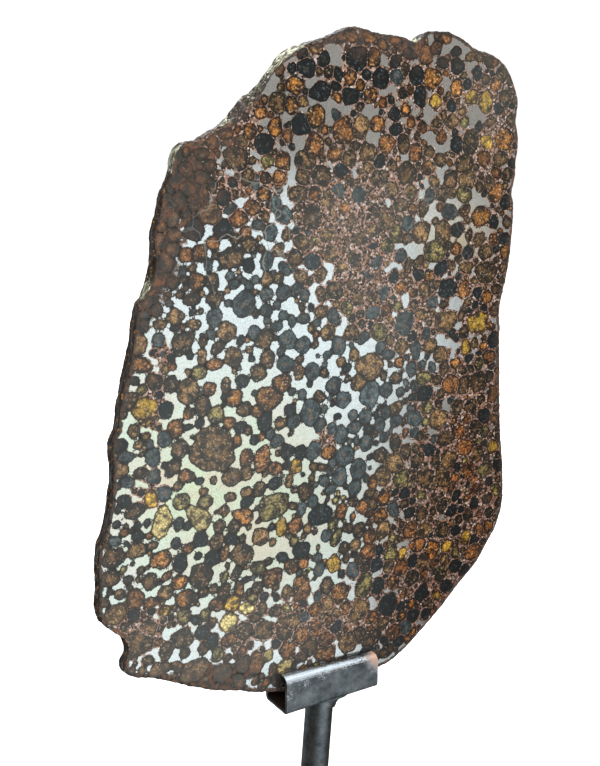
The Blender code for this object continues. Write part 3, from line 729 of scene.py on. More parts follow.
def outlineGrains(grains, loop, spacing):
    # each grain's outline as directions and reaches; grains that meet share a flat side
    middles = treeOf([(g["x"], g["height"]) for g in grains])
    rimTree = treeOf(loop)
    outward = outwardOf(loop)
    farthest = [grainShape["farthest"] * max(g["across"], g["up"]) for g in grains]
    longest = max(farthest)
    fewest, most = slab["pointsPerGrain"]
    outlines = []
    for i, grain in enumerate(grains):
        middle = Vector((grain["x"], grain["height"], 0))
        girth = math.pi * (grain["across"] + grain["up"])
        count = int(min(most, max(fewest, girth / spacing)))
        angles = np.arange(count) * 2 * math.pi / count + grain["turn"]
        limit = np.full(count, 1e3)
        for place, j, distance in middles.find_range(middle, farthest[i] + longest):
            if j == i or distance > farthest[i] + farthest[j] + slab["grainGap"]:
                continue
            toward = math.atan2(place.y - middle.y, place.x - middle.x)
            mine = reachOf(grain, np.array([toward]))[0]
            other = reachOf(grains[j], np.array([toward + math.pi]))[0]
            wall = distance * mine / (mine + other) - slab["grainGap"] / 2
            facing = np.cos(angles - toward)
            ahead = facing > 0.02
            limit[ahead] = np.minimum(limit[ahead], wall / facing[ahead])
        reach = np.minimum(reachOf(grain, angles), limit)
        reach = 0.6 * reach + 0.2 * (np.roll(reach, 1) + np.roll(reach, -1))
        reach = np.minimum(reach, limit)
        if rimTree.find(middle)[2] < farthest[i] + 1.0:  # drawn in until it clears the rim
            for k, angle in enumerate(angles):
                while reach[k] > 0.2:
                    corner = middle + Vector((math.cos(angle), math.sin(angle), 0)) * float(reach[k])
                    edge, nearest, distance = rimTree.find(corner)
                    away = (corner - edge).dot(Vector((*outward[nearest], 0)))
                    if away < -0.6 * slab["rimGap"] and distance > slab["rimGap"]:
                        break
                    reach[k] *= 0.88
        outlines.append((angles, reach) if reach.min() > slab["smallest"] else None)
    return outlines


def ringOf(grain, angles, reach):
    return [(grain["x"] + r * math.cos(angle), grain["height"] + r * math.sin(angle))
            for angle, r in zip(angles, reach)]


def coveredBy(spots, grains, outlines):
    # which spots lie on a grain
    middles = treeOf([(g["x"], g["height"]) for g in grains])
    widest = grainShape["farthest"] * max(max(g["across"], g["up"]) for g in grains)
    covered = []
    for x, height in spots:
        under = False
        for place, i, distance in middles.find_range((x, height, 0), widest):
            if outlines[i] is None:
                continue
            angles, reach = outlines[i]
            toward = math.atan2(height - place.y, x - place.x) - angles[0]
            k = int(toward / (2 * math.pi / len(reach)) % len(reach))
            under = under or distance < max(reach[k], reach[(k + 1) % len(reach)]) + 0.1
        covered.append(under)
    return covered


def closeness(tree, owners, place, owner):
    # 1 where another grain all but touches this one, 0 where it is farther than a film's width
    low, high = slab["filmWidth"]
    away = [distance for other, j, distance in tree.find_range((*place, 0), high)
            if owners[j] >= 0 and owners[j] != owner]
    return min(1.0, (high - min([high, *away])) / (high - low))


def mosaic(grains, loop, spacing, draw):
    # triangles of a polished face: its grains, each with a rim, a core and a heart, and the metal
    # between them. Returns points, triangles, what each triangle is part of, and each point's
    # depth in its grain, gap to the nearest grain and closeness.
    outlines = outlineGrains(grains, loop, spacing)
    rim = len(loop)
    points = [tuple(p) for p in loop]
    owners = [-1] * rim  # the grain that each point is part of
    polygons = [list(range(rim))[::-1]]
    inner = []
    for i, outline in enumerate(outlines):
        if outline is None:
            continue
        angles, reach = outline
        start = len(points)
        points += ringOf(grains[i], angles, reach)
        polygons.append(list(range(start, len(points))))
        owners += [i] * len(reach)
        inner.append((i, start, angles, np.maximum(0.5 * reach, reach - slab["darkRim"])))
    low, high = loop.min(axis=0), loop.max(axis=0)
    step = slab["metalPointSpacing"] * spacing
    spread = np.mgrid[low[0]:high[0]:step, low[1]:high[1]:step].reshape(2, -1).T
    spread = spread + draw.uniform(-0.2, 0.2, spread.shape) * step
    spread = spread[insideLoop(spread, loop)]
    outlineTree = treeOf(points)
    marks = [(0.0, 0.0, 0.0)] * rim
    marks += [(0.0, 0.0, closeness(outlineTree, owners, points[k], owners[k]))
              for k in range(rim, len(points))]
    for (x, height), under in zip(spread, coveredBy(spread, grains, outlines)):
        clear = outlineTree.find((x, height, 0))[2]
        if not under and clear > 0.5 * step:
            points.append((x, height))
            marks.append((0.0, clear, 0.0))
    count = len(points)
    made = delaunay_2d_cdt([Vector(p) for p in points], [], polygons, 1, 1e-6, True)
    corners, triangles, origins, sources = made[0], made[2], made[3], made[5]
    if len(corners) != count:
        print("outlines crossed at", len(corners) - count, "points")
    places = []
    for corner, origin in zip(corners, origins):
        if not origin:  # where two outlines cross
            points.append(tuple(corner))
            marks.append((0.0, 0.0, 1.0))
        places.append(origin[0] if origin else len(points) - 1)
    faces = [[places[v] for v in triangle] for triangle, source in zip(triangles, sources)
             if list(source) == [0]]
    kinds = [metalFace] * len(faces)
    for i, start, angles, reach in inner:
        first, size = len(points), len(reach)
        points += ringOf(grains[i], angles, reach) + [(grains[i]["x"], grains[i]["height"])]
        marks += [(0.5, 0.0, 0.0)] * size + [(1.0, 0.0, 0.0)]
        for k in range(size):
            after = (k + 1) % size
            faces.append([start + k, start + after, first + after])
            faces.append([start + k, first + after, first + k])
            faces.append([first + k, first + after, first + size])
        kinds += [i] * 3 * size
    return points, faces, kinds, marks


def buildSlab(node):
    rows = buildRim(node)
    frontDepth, frontLoop = rows[0]
    backDepth, backLoop = rows[-1]
    print("slab: rim of", len(frontLoop), "points in", len(rows), "rows")
    grains = layGrains(frontLoop)
    print("slab:", len(grains), "grains")
    draw = np.random.default_rng(slab["backSeed"])
    behind = []
    for grain in grains:
        drift = draw.normal(0, slab["backDrift"], 2)
        swell = draw.uniform(*slab["backSwell"])
        behind.append({**grain, "x": grain["x"] + drift[0], "height": grain["height"] + drift[1],
                       "across": grain["across"] * swell, "up": grain["up"] * swell})
    front = mosaic(grains, frontLoop, slab["frontPointSpacing"], draw)
    back = mosaic(behind, backLoop, slab["backPointSpacing"], draw)

    rim = len(frontLoop)
    places, marks, faces, kinds = [], [], [], []
    for (points, triangles, owners, ownMarks), y in ((front, frontDepth), (back, backDepth)):
        first = len(places)
        places += [(x, y, height) for x, height in points]
        marks += ownMarks
        kinds += owners
        for triangle in triangles:
            corners = [first + v for v in triangle]
            faces.append(corners if y == frontDepth else corners[::-1])
    bands = [0]
    for depth, row in rows[1:-1]:
        bands.append(len(places))
        places += [(x, depth, height) for x, height in row]
        marks += [(0.0, 0.0, 0.0)] * rim
    bands.append(first)  # the back face's own edge
    for near, far in zip(bands, bands[1:]):
        for k in range(rim):
            after = (k + 1) % rim
            faces.append([near + k, near + after, far + after, far + k])
            kinds.append(crustFace)

    places = np.array(places)
    mesh = bpy.data.meshes.new("pallasite_slab")
    mesh.from_pydata((places * mm).tolist(), [], faces)
    for material in (polishedNickelIron(), polishedOlivine(), weatheredCrust()):
        mesh.materials.append(material)
    materials = {metalFace: 0, crustFace: 2}
    mesh.polygons.foreach_set("material_index", [materials.get(kind, 1) for kind in kinds])
    writeFields(mesh, places[:, [0, 2]], marks, [grains[max(kind, 0)] for kind in kinds], frontLoop)
    layOut(mesh, places, kinds, frontDepth, bands, rim)
    mesh.validate()
    piece = bpy.data.objects.new("pallasite_slab", mesh)
    bpy.context.scene.collection.objects.link(piece)
    print("slab:", sum(len(f) - 2 for f in faces), "triangles")
    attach(piece, "root")
    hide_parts("slice")


def writeFields(mesh, flat, marks, shown, frontLoop):
    # what the materials read: fields at the points, and on each triangle its grain's colours
    fields = {**dict(zip(("depth", "gap", "close"), zip(*marks))), "bare": bareMetal(flat),
              **{name: regionStrength(flat, name) for name in regions}}
    edge = treeOf(frontLoop)
    fromEdge = np.array([edge.find((x, height, 0))[2] for x, height in flat])
    near = slab["rustedEdge"][1] * np.clip(1 - fromEdge / slab["rustedEdge"][0], 0, 1)
    fields["rust"] = 1 - (1 - fields["rust"]) * (1 - near)
    for name, values in fields.items():
        mesh.attributes.new(name, "FLOAT", "POINT").data.foreach_set("value", values)
    lighter = [math.exp(slab["shadeSpread"] * grain["shade"]) for grain in shown]
    for name in ("core", "heart"):
        shades = {look: linear(colours[name])[:3] for look, colours in grainLooks.items()}
        values = [v for grain, times in zip(shown, lighter)
                  for v in (*(c * times for c in shades[grain["look"]]), 1.0)]
        mesh.attributes.new(name, "FLOAT_COLOR", "FACE").data.foreach_set("color", values)
    for name, values in (("seed", [grain["seed"] for grain in shown]),
                         ("warmth", [grainLooks[grain["look"]]["warmth"] for grain in shown])):
        mesh.attributes.new(name, "FLOAT", "FACE").data.foreach_set("value", values)


def layOut(mesh, places, kinds, frontDepth, bands, rim):
    # the two faces side by side and the rim in strips above them
    low, high = places.min(axis=0), places.max(axis=0)
    width, room, strips = high[0] - low[0], 3.0, 3
    whole = 2 * width + 3 * room
    stripTop = high[2] - low[2] + 2 * room
    stripHeight = (whole - stripTop) / strips
    perStrip = rim / strips
    sheet = []
    for polygon, kind in zip(mesh.polygons, kinds):
        corners = [places[v] for v in polygon.vertices]
        if kind == crustFace:
            number = polygon.index - (len(kinds) - rim * (len(bands) - 1))
            column, band = number % rim, number // rim
            strip = int(column / perStrip)
            for side, deep in ((0, 0), (1, 0), (1, 1), (0, 1)):
                along = (column + side - strip * perStrip) / perStrip
                up = (band + deep) / (len(bands) - 1)
                sheet += [(room + along * (whole - 2 * room)) / whole,
                          (stripTop + strip * stripHeight + up * (stripHeight - room)) / whole]
            continue
        start = room if corners[0][1] == frontDepth else width + 2 * room
        for x, y, height in corners:
            sheet += [(start + x - low[0]) / whole, (room + height - low[2]) / whole]
    mesh.uv_layers.new(name="OFBake").data.foreach_set("uv", sheet)


# Materials. A range gives the values between which a pattern starts and ends and, where two more
# follow, what it then runs from and to.

smooth = {"interpolation_type": "SMOOTHSTEP"}
granule = {
    "size": 0.7, "warpSize": 0.9, "warp": 0.5,
    "colours": ((0.0, "#181310"), (0.16, "#382b24"), (0.30, "#5f493d"), (0.44, "#886958"),
                (0.60, "#ac8979"), (0.78, "#c7aa9d"), (0.90, "#b27c52"), (0.95, "#e6d5cb")),
}


def granuleColours(tree, place):
    # a crowd of rusty granules, each one flat colour; returns colour and height
    warp = addNode(tree, "TexNoise", Vector=place, Scale=1 / granule["warpSize"], Detail=2.0, out="Color")
    warp = addNode(tree, "VectorMath", warp, operation="SCALE", Scale=granule["warp"])
    place = addNode(tree, "VectorMath", place, warp, operation="ADD")
    cell = addNode(tree, "TexVoronoi", Vector=place, Scale=1 / granule["size"], out="Color")
    cell = addNode(tree, "SeparateColor", cell, out="Red")
    colour = addNode(tree, "ValToRGB", cell)
    ramp = colour.node.color_ramp
    ramp.interpolation = "CONSTANT"
    while len(ramp.elements) < len(granule["colours"]):
        ramp.elements.new(0.5)
    for element, (at, hexColour) in zip(ramp.elements, granule["colours"]):
        element.position, element.color = at, linear(hexColour)
    return colour, cell


# painted shade and painted sheen: the sheen's colour and its strongest mix, and the darkening power at
# full shadow
shadeAndSheen = {"colour": "#a8aeaa", "most": 0.13, "deepest": 1.45}


def regionTone(tree, colour, fields):
    # painted shade, deeper in the shadow regions, and a painted pale sheen in the sheen regions
    power = addNode(tree, "MapRange", fields["shadow"], 0, 1, 1, shadeAndSheen["deepest"])
    colour = addNode(tree, "Gamma", colour, power)
    paintedSheen = addNode(tree, "Math", fields["paintedSheen"], shadeAndSheen["most"], operation="MULTIPLY")
    return addNode(tree, "MixRGB", paintedSheen, colour, linear(shadeAndSheen["colour"]))


stain = {"dark": "#454340", "light": "#7d5a47", "patch": 3.4, "hue": (0.45, 0.62)}


def rustStain(tree, place):
    # rust that has soaked into the stone: nearly black to red brown, in soft patches
    patch = addNode(tree, "TexNoise", Vector=place, Scale=1 / stain["patch"], Detail=5.0, Roughness=0.65)
    hue = addNode(tree, "MapRange", patch, *stain["hue"])
    return addNode(tree, "MixRGB", hue, linear(stain["dark"]), linear(stain["light"]))


fissure = {"colour": "#a5a097", "apart": 24.0, "wander": 9.0, "width": 0.17, "strength": 0.8}


def drawFissures(tree, place, colour, fields):
    # thin wandering fractures filled with pale dust
    drift = addNode(tree, "TexNoise", Vector=place, Scale=1 / fissure["wander"], Detail=4.0, out="Color")
    drift = addNode(tree, "VectorMath", drift, operation="SCALE", Scale=fissure["wander"])
    path = addNode(tree, "VectorMath", place, drift, operation="ADD")
    away = addNode(tree, "TexVoronoi", feature="DISTANCE_TO_EDGE", Vector=path,
                   Scale=1 / fissure["apart"], out="Distance")
    width = fissure["width"] / fissure["apart"]
    line = addNode(tree, "MapRange", away, 0.5 * width, 1.5 * width, fissure["strength"], 0)
    line = addNode(tree, "Math", line, fields["fissures"], operation="MULTIPLY")
    return addNode(tree, "MixRGB", line, colour, linear(fissure["colour"]))


olivine = {
    "zone": 3.4, "mottle": 1.1, "grit": 0.62, "crack": 2.1,
    "rim": "#14130c", "dark": "#1e2022", "glint": "#f0c68c", "coldGlint": "#55636a",
    "heart": (1.9, 2.4), "darkPart": (0.38, 0.54, 0.75, 0.0), "edge": (0.24, 0.68),
    "tone": (0.34, 0.66, 0.6, 1.65), "coarse": (0.0, 0.7, 0.35), "calm": (0.75, 0.88, 1.0, 0.5),
    "glints": (0.93, 0.98, 0.0, 0.75), "crackWidth": (0.02, 0.1, 0.5, 0.0), "stained": 0.75,
    "grown": (1.08, 1.2, 0.0, 0.9), "roughness": (0.0, 1.0, 0.06, 0.24),
}


def polishedOlivine():
    # Olivine, sawn and polished flush with the metal: glassy, darkened by rust along its edges
    # and its cracks, with amber hearts where light still passes.
    material, tree, shader, place, fields = newMaterial(
        "olivine_polished", {"IOR": 1.5, "Specular IOR Level": 0.33},
        ("seed", "depth", "warmth", "rust", "granules", "shadow", "paintedSheen", "fissures"))
    core, heart = (addNode(tree, "Attribute", attribute_name=name, out="Color")
                   for name in ("core", "heart"))
    apart = addNode(tree, "VectorMath", (37.0, 11.0, 53.0), operation="SCALE", Scale=fields["seed"])
    own = addNode(tree, "VectorMath", place, apart, operation="ADD")
    zone = addNode(tree, "TexNoise", Vector=own, Scale=1 / olivine["zone"], Detail=2.0)
    mottle = addNode(tree, "TexNoise", Vector=own, Scale=1 / olivine["mottle"], Detail=5.0,
                     Roughness=0.72, Distortion=0.4)
    warp = addNode(tree, "VectorMath", mottle, (0.9, 0.2, -0.9), own, operation="MULTIPLY_ADD")
    grit = addNode(tree, "TexVoronoi", Vector=warp, Scale=1 / olivine["grit"], out="Color")
    grit = addNode(tree, "SeparateColor", grit, out="Red")
    crack = addNode(tree, "TexVoronoi", feature="DISTANCE_TO_EDGE", Vector=warp,
                    Scale=1 / olivine["crack"], out="Distance")
    # the warm heart of the grain and its dark part
    warm = addNode(tree, "Math", zone, 1.5, mottle, operation="MULTIPLY_ADD")
    for field, weight in (("warmth", 0.55), ("depth", 0.9)):
        warm = addNode(tree, "Math", fields[field], weight, warm, operation="MULTIPLY_ADD")
    warm = addNode(tree, "MapRange", warm, *olivine["heart"], **smooth)
    colour = addNode(tree, "MixRGB", warm, core, heart)
    dark = addNode(tree, "MapRange", zone, *olivine["darkPart"], **smooth)
    colour = addNode(tree, "MixRGB", dark, colour, linear(olivine["dark"]))
    # light and dark mottling, with coarse sugary grit in the warm grains and little in the cold
    tone = addNode(tree, "MapRange", mottle, *olivine["tone"])
    fine = addNode(tree, "Math", grit, 1.6, -0.75, operation="MULTIPLY_ADD")
    coarse = addNode(tree, "MapRange", fields["warmth"], *olivine["coarse"])
    calm = addNode(tree, "MapRange", fields["warmth"], *olivine["calm"])
    coarse = addNode(tree, "Math", coarse, calm, operation="MULTIPLY")
    fine = addNode(tree, "Math", fine, coarse, 1.0, operation="MULTIPLY_ADD")
    tone = addNode(tree, "Math", tone, fine, operation="MULTIPLY")
    colour = addNode(tree, "VectorMath", colour, operation="SCALE", Scale=tone)
    # painted glints: bright specks in the base colour, gold in warm grains and blue-grey in cold ones,
    # fewer where rust has soaked in
    glint = addNode(tree, "Math", fields["depth"], 0.04, grit, operation="MULTIPLY_ADD")
    glint = addNode(tree, "MapRange", glint, *olivine["glints"])
    clean = addNode(tree, "Math", 1.0, fields["rust"], operation="SUBTRACT")
    glint = addNode(tree, "Math", glint, clean, operation="MULTIPLY")
    spark = addNode(tree, "MixRGB", fields["warmth"], linear(olivine["coldGlint"]),
                    linear(olivine["glint"]))
    colour = addNode(tree, "MixRGB", glint, colour, spark)
    line = addNode(tree, "MapRange", crack, *olivine["crackWidth"])
    colour = addNode(tree, "MixRGB", line, colour, linear(olivine["rim"]))
    soaked = addNode(tree, "Math", fields["rust"], olivine["stained"], operation="MULTIPLY")
    colour = addNode(tree, "MixRGB", soaked, colour, rustStain(tree, place))
    # its dark edge, paler where rust or granules have taken it
    edge = addNode(tree, "Math", mottle, 0.5, fields["depth"], operation="MULTIPLY_ADD")
    edge = addNode(tree, "MapRange", edge, *olivine["edge"], **smooth)
    paler = addNode(tree, "Math", fields["granules"], fields["rust"], operation="MAXIMUM")
    paler = addNode(tree, "MapRange", paler, 0, 1, 0, 0.8)
    edge = addNode(tree, "Math", edge, paler, operation="MAXIMUM")
    colour = addNode(tree, "MixRGB", edge, linear(olivine["rim"]), colour)
    # granules that have grown over the grain's edges
    rusty, height = granuleColours(tree, place)
    grown = addNode(tree, "Math", mottle, 0.9, fields["granules"], operation="MULTIPLY_ADD")
    grown = addNode(tree, "Math", fields["depth"], -0.45, grown, operation="MULTIPLY_ADD")
    grown = addNode(tree, "MapRange", grown, *olivine["grown"], **smooth)
    colour = addNode(tree, "MixRGB", grown, colour, rusty)
    colour = drawFissures(tree, place, regionTone(tree, colour, fields), fields)
    rough = addNode(tree, "MapRange", mottle, *olivine["roughness"])
    rough = addNode(tree, "Math", fields["rust"], 0.25, rough, operation="MULTIPLY_ADD")
    bump = addNode(tree, "Bump", Strength=0.15, Distance=0.05 * mm, Height=mottle)
    connect(tree, shader, {"Base Color": colour, "Roughness": rough, "Normal": bump})
    return material


metal = {
    "fresh": "#e6e8e6", "dull": "#ada899", "goldCool": "#dae0b8", "goldWarm": "#e6d3b0",
    "film": "#25211e", "filmPale": "#665346", "pit": "#35302c",
    "cloud": 11.0, "patch": 2.6, "pitSize": 2.4, "fine": 0.7,
    "dulled": (0.25, 1.0), "scratched": (0.3, 0.6, 0.86, 1.0), "goldHue": (0.4, 0.6), "gold": 0.9,
    "shade": (0, 1, 1.0, 0.45), "pitWidth": (0.05, 0.11, 0.7, 0.0),
    "beside": (0.1, 1.1, 0.42, 0.0), "eaten": (1.04, 1.14), "soaked": (0.85, 1.0),
    "seams": (0.3, 0.6, 0.0, 0.98), "ragged": (0.42, 0.5, 0.0, 0.92), "seamHue": (0.5, 0.66),
    "seamGranules": (0.15, 0.5), "metallic": (0, 1, 1.0, 0.15), "roughness": (0, 1, 0.1, 0.4),
}


def polishedNickelIron():
    # Nickel-iron, ground and polished between the grains: near white where fresh, grey where
    # tarnished, and eaten by pink and brown rust granules or soaked with rust in places.
    material, tree, shader, place, fields = newMaterial(
        "nickel_iron_polished", {"Specular IOR Level": 0.3},
        ("granules", "rust", "greyed", "goldFilm", "close", "gap", "shadow", "paintedSheen", "bare",
         "fissures"))
    cloud, patch, fine = (
        addNode(tree, "TexNoise", Vector=place, Scale=1 / metal[name], Detail=detail, Roughness=rough)
        for name, detail, rough in (("cloud", 3.0, 0.5), ("patch", 5.0, 0.65), ("fine", 3.0, 0.5)))
    dull = addNode(tree, "Math", patch, 0.5, fields["greyed"], operation="MULTIPLY_ADD")
    dull = addNode(tree, "MapRange", dull, *metal["dulled"])
    colour = addNode(tree, "MixRGB", dull, linear(metal["fresh"]), linear(metal["dull"]))
    hue = addNode(tree, "MapRange", cloud, *metal["goldHue"])
    golden = addNode(tree, "MixRGB", hue, linear(metal["goldCool"]), linear(metal["goldWarm"]))
    gold = addNode(tree, "Math", fields["goldFilm"], metal["gold"], operation="MULTIPLY")
    colour = addNode(tree, "MixRGB", gold, colour, golden)
    tone = addNode(tree, "MapRange", fine, *metal["scratched"])
    # painted shade: the metal darker in the shadow regions
    shade = addNode(tree, "MapRange", fields["shadow"], *metal["shade"])
    tone = addNode(tree, "Math", tone, shade, operation="MULTIPLY")
    colour = addNode(tree, "VectorMath", colour, operation="SCALE", Scale=tone)
    pit = addNode(tree, "TexVoronoi", Vector=place, Scale=1 / metal["pitSize"], out="Distance")
    pit = addNode(tree, "MapRange", pit, *metal["pitWidth"])
    colour = addNode(tree, "MixRGB", pit, colour, linear(metal["pit"]))
    # granules, thickest beside the grains
    rusty, height = granuleColours(tree, place)
    rusty = regionTone(tree, rusty, fields)
    beside = addNode(tree, "MapRange", fields["gap"], *metal["beside"])
    eaten = addNode(tree, "Math", patch, 0.9, fields["granules"], operation="MULTIPLY_ADD")
    eaten = addNode(tree, "Math", eaten, beside, operation="ADD")
    eaten = addNode(tree, "Math", fields["bare"], -0.5, eaten, operation="MULTIPLY_ADD")
    eaten = addNode(tree, "MapRange", eaten, *metal["eaten"], **smooth)
    colour = addNode(tree, "MixRGB", eaten, colour, rusty)
    soak = addNode(tree, "Math", patch, 0.8, fields["rust"], operation="MULTIPLY_ADD")
    soak = addNode(tree, "Math", fields["bare"], -0.35, soak, operation="MULTIPLY_ADD")
    soak = addNode(tree, "MapRange", soak, *metal["soaked"], **smooth)
    colour = addNode(tree, "MixRGB", soak, colour, rustStain(tree, place))
    # dark seams between grains that all but touch, and edges ragged down to half a millimetre
    film = addNode(tree, "MapRange", fields["close"], *metal["seams"], **smooth)
    ragged = addNode(tree, "Math", fields["gap"], -0.5, fine, operation="MULTIPLY_ADD")
    ragged = addNode(tree, "MapRange", ragged, *metal["ragged"])
    film = addNode(tree, "Math", film, ragged, operation="MAXIMUM")
    hue = addNode(tree, "MapRange", patch, *metal["seamHue"])
    seam = addNode(tree, "MixRGB", hue, linear(metal["film"]), linear(metal["filmPale"]))
    pink = addNode(tree, "MapRange", fields["granules"], *metal["seamGranules"])
    seam = addNode(tree, "MixRGB", pink, seam, rusty)
    colour = addNode(tree, "MixRGB", film, colour, seam)
    colour = drawFissures(tree, place, colour, fields)
    covered = addNode(tree, "Math", eaten, soak, operation="MAXIMUM")
    covered = addNode(tree, "Math", covered, film, operation="MAXIMUM")
    bare = addNode(tree, "MapRange", covered, *metal["metallic"])
    rough = addNode(tree, "MapRange", covered, *metal["roughness"])
    rough = addNode(tree, "Math", patch, 0.08, rough, operation="MULTIPLY_ADD")
    lift = addNode(tree, "Math", height, covered, operation="MULTIPLY")
    bump = addNode(tree, "Bump", Strength=0.25, Distance=0.06 * mm, Height=lift)
    connect(tree, shader, {"Base Color": colour, "Metallic": bare, "Roughness": rough, "Normal": bump})
    return material


crust = {
    "oxide": "#2c1d13", "deep": "#0f0b09", "glint": "#a9782f", "pale": "#c6cab6",
    "paleDark": "#4e4a3e", "lump": 1.6, "grain": 0.7, "streak": 0.9,
    "glints": (0.45, 0.56), "streaks": (0.42, 0.6), "broken": (0.6, 0.95),
    "metallic": (0, 1, 0.1, 0.6), "roughness": (0, 1, 0.35, 0.7),
}


def weatheredCrust():
    # The outside of the stone, never sawn: dark brown oxide with painted golden glints standing for light
    # off bare olivine and metal, and pale broken stretches.
    material, tree, shader, place, fields = newMaterial("weathered_crust", {}, ("paleCrust",))
    lump = addNode(tree, "TexNoise", Vector=place, Scale=1 / crust["lump"], Detail=5.0, Roughness=0.65)
    cell = addNode(tree, "TexVoronoi", Vector=place, Scale=1 / crust["grain"], out="Color")
    cell = addNode(tree, "SeparateColor", cell, out="Green")
    colour = addNode(tree, "MixRGB", lump, linear(crust["deep"]), linear(crust["oxide"]))
    # painted glints: golden specks in the base colour
    glint = addNode(tree, "Math", cell, lump, operation="MULTIPLY")
    glint = addNode(tree, "MapRange", glint, *crust["glints"], **smooth)
    colour = addNode(tree, "MixRGB", glint, colour, linear(crust["glint"]))
    # streaks that run along the edge
    along = addNode(tree, "VectorMath", place, (0.4, 1.0, 0.4), operation="MULTIPLY")
    streak = addNode(tree, "TexNoise", Vector=along, Scale=1 / crust["streak"], Detail=4.0)
    streak = addNode(tree, "MapRange", streak, *crust["streaks"])
    broken = addNode(tree, "MixRGB", streak, linear(crust["paleDark"]), linear(crust["pale"]))
    bare = addNode(tree, "Math", cell, 0.5, fields["paleCrust"], operation="MULTIPLY_ADD")
    bare = addNode(tree, "MapRange", bare, *crust["broken"], **smooth)
    colour = addNode(tree, "MixRGB", bare, colour, broken)
    metallic = addNode(tree, "MapRange", bare, *crust["metallic"])
    rough = addNode(tree, "MapRange", lump, *crust["roughness"])
    bump = addNode(tree, "Bump", Strength=0.6, Distance=0.3 * mm, Height=lump)
    connect(tree, shader, {"Base Color": colour, "Metallic": metallic, "Roughness": rough,
                           "Normal": bump})
    return material


steelLook = {
    "scale": "#474c50", "light": "#868b8d", "paintedHighlightAndMarks": "#d6e4ee", "copper": "#d9ae97",
    "inside": "#2b1f18", "cloud": 8.0, "grit": 0.7, "patch": 2.4,
    "tone": (0.58, 1.02), "highlightFrom": (1.5, 1.75), "pink": (0.56, 0.68),
    "highlightAbove": 60.0,  # the painted highlight is kept above this height, off the base
    "copperAt": (26.5, -7.0, 105.5), "copperReach": (-6.5, -0.5),  # the heat-tinted end of the fold
    "scratches": ((-13.0, -8.0, 99.6), (-5.0, -8.0, 100.8), (-20.8, -8.0, 95.0)),
    "scratchReach": (1.2, 3.0, 0.16, 0.0), "scratched": (0.66, 0.72, 0.0, 0.8),
    # the channel's hollow: its middle and half width across, its slopes and its heights
    "hollow": (0.7, 7.15), "ceiling": (-0.036, 103.1), "floor": (-0.073, 88.8),
    "metallic": (0, 1, 0.95, 0.35), "roughness": (0.3, 0.7, 0.28, 0.52),
}


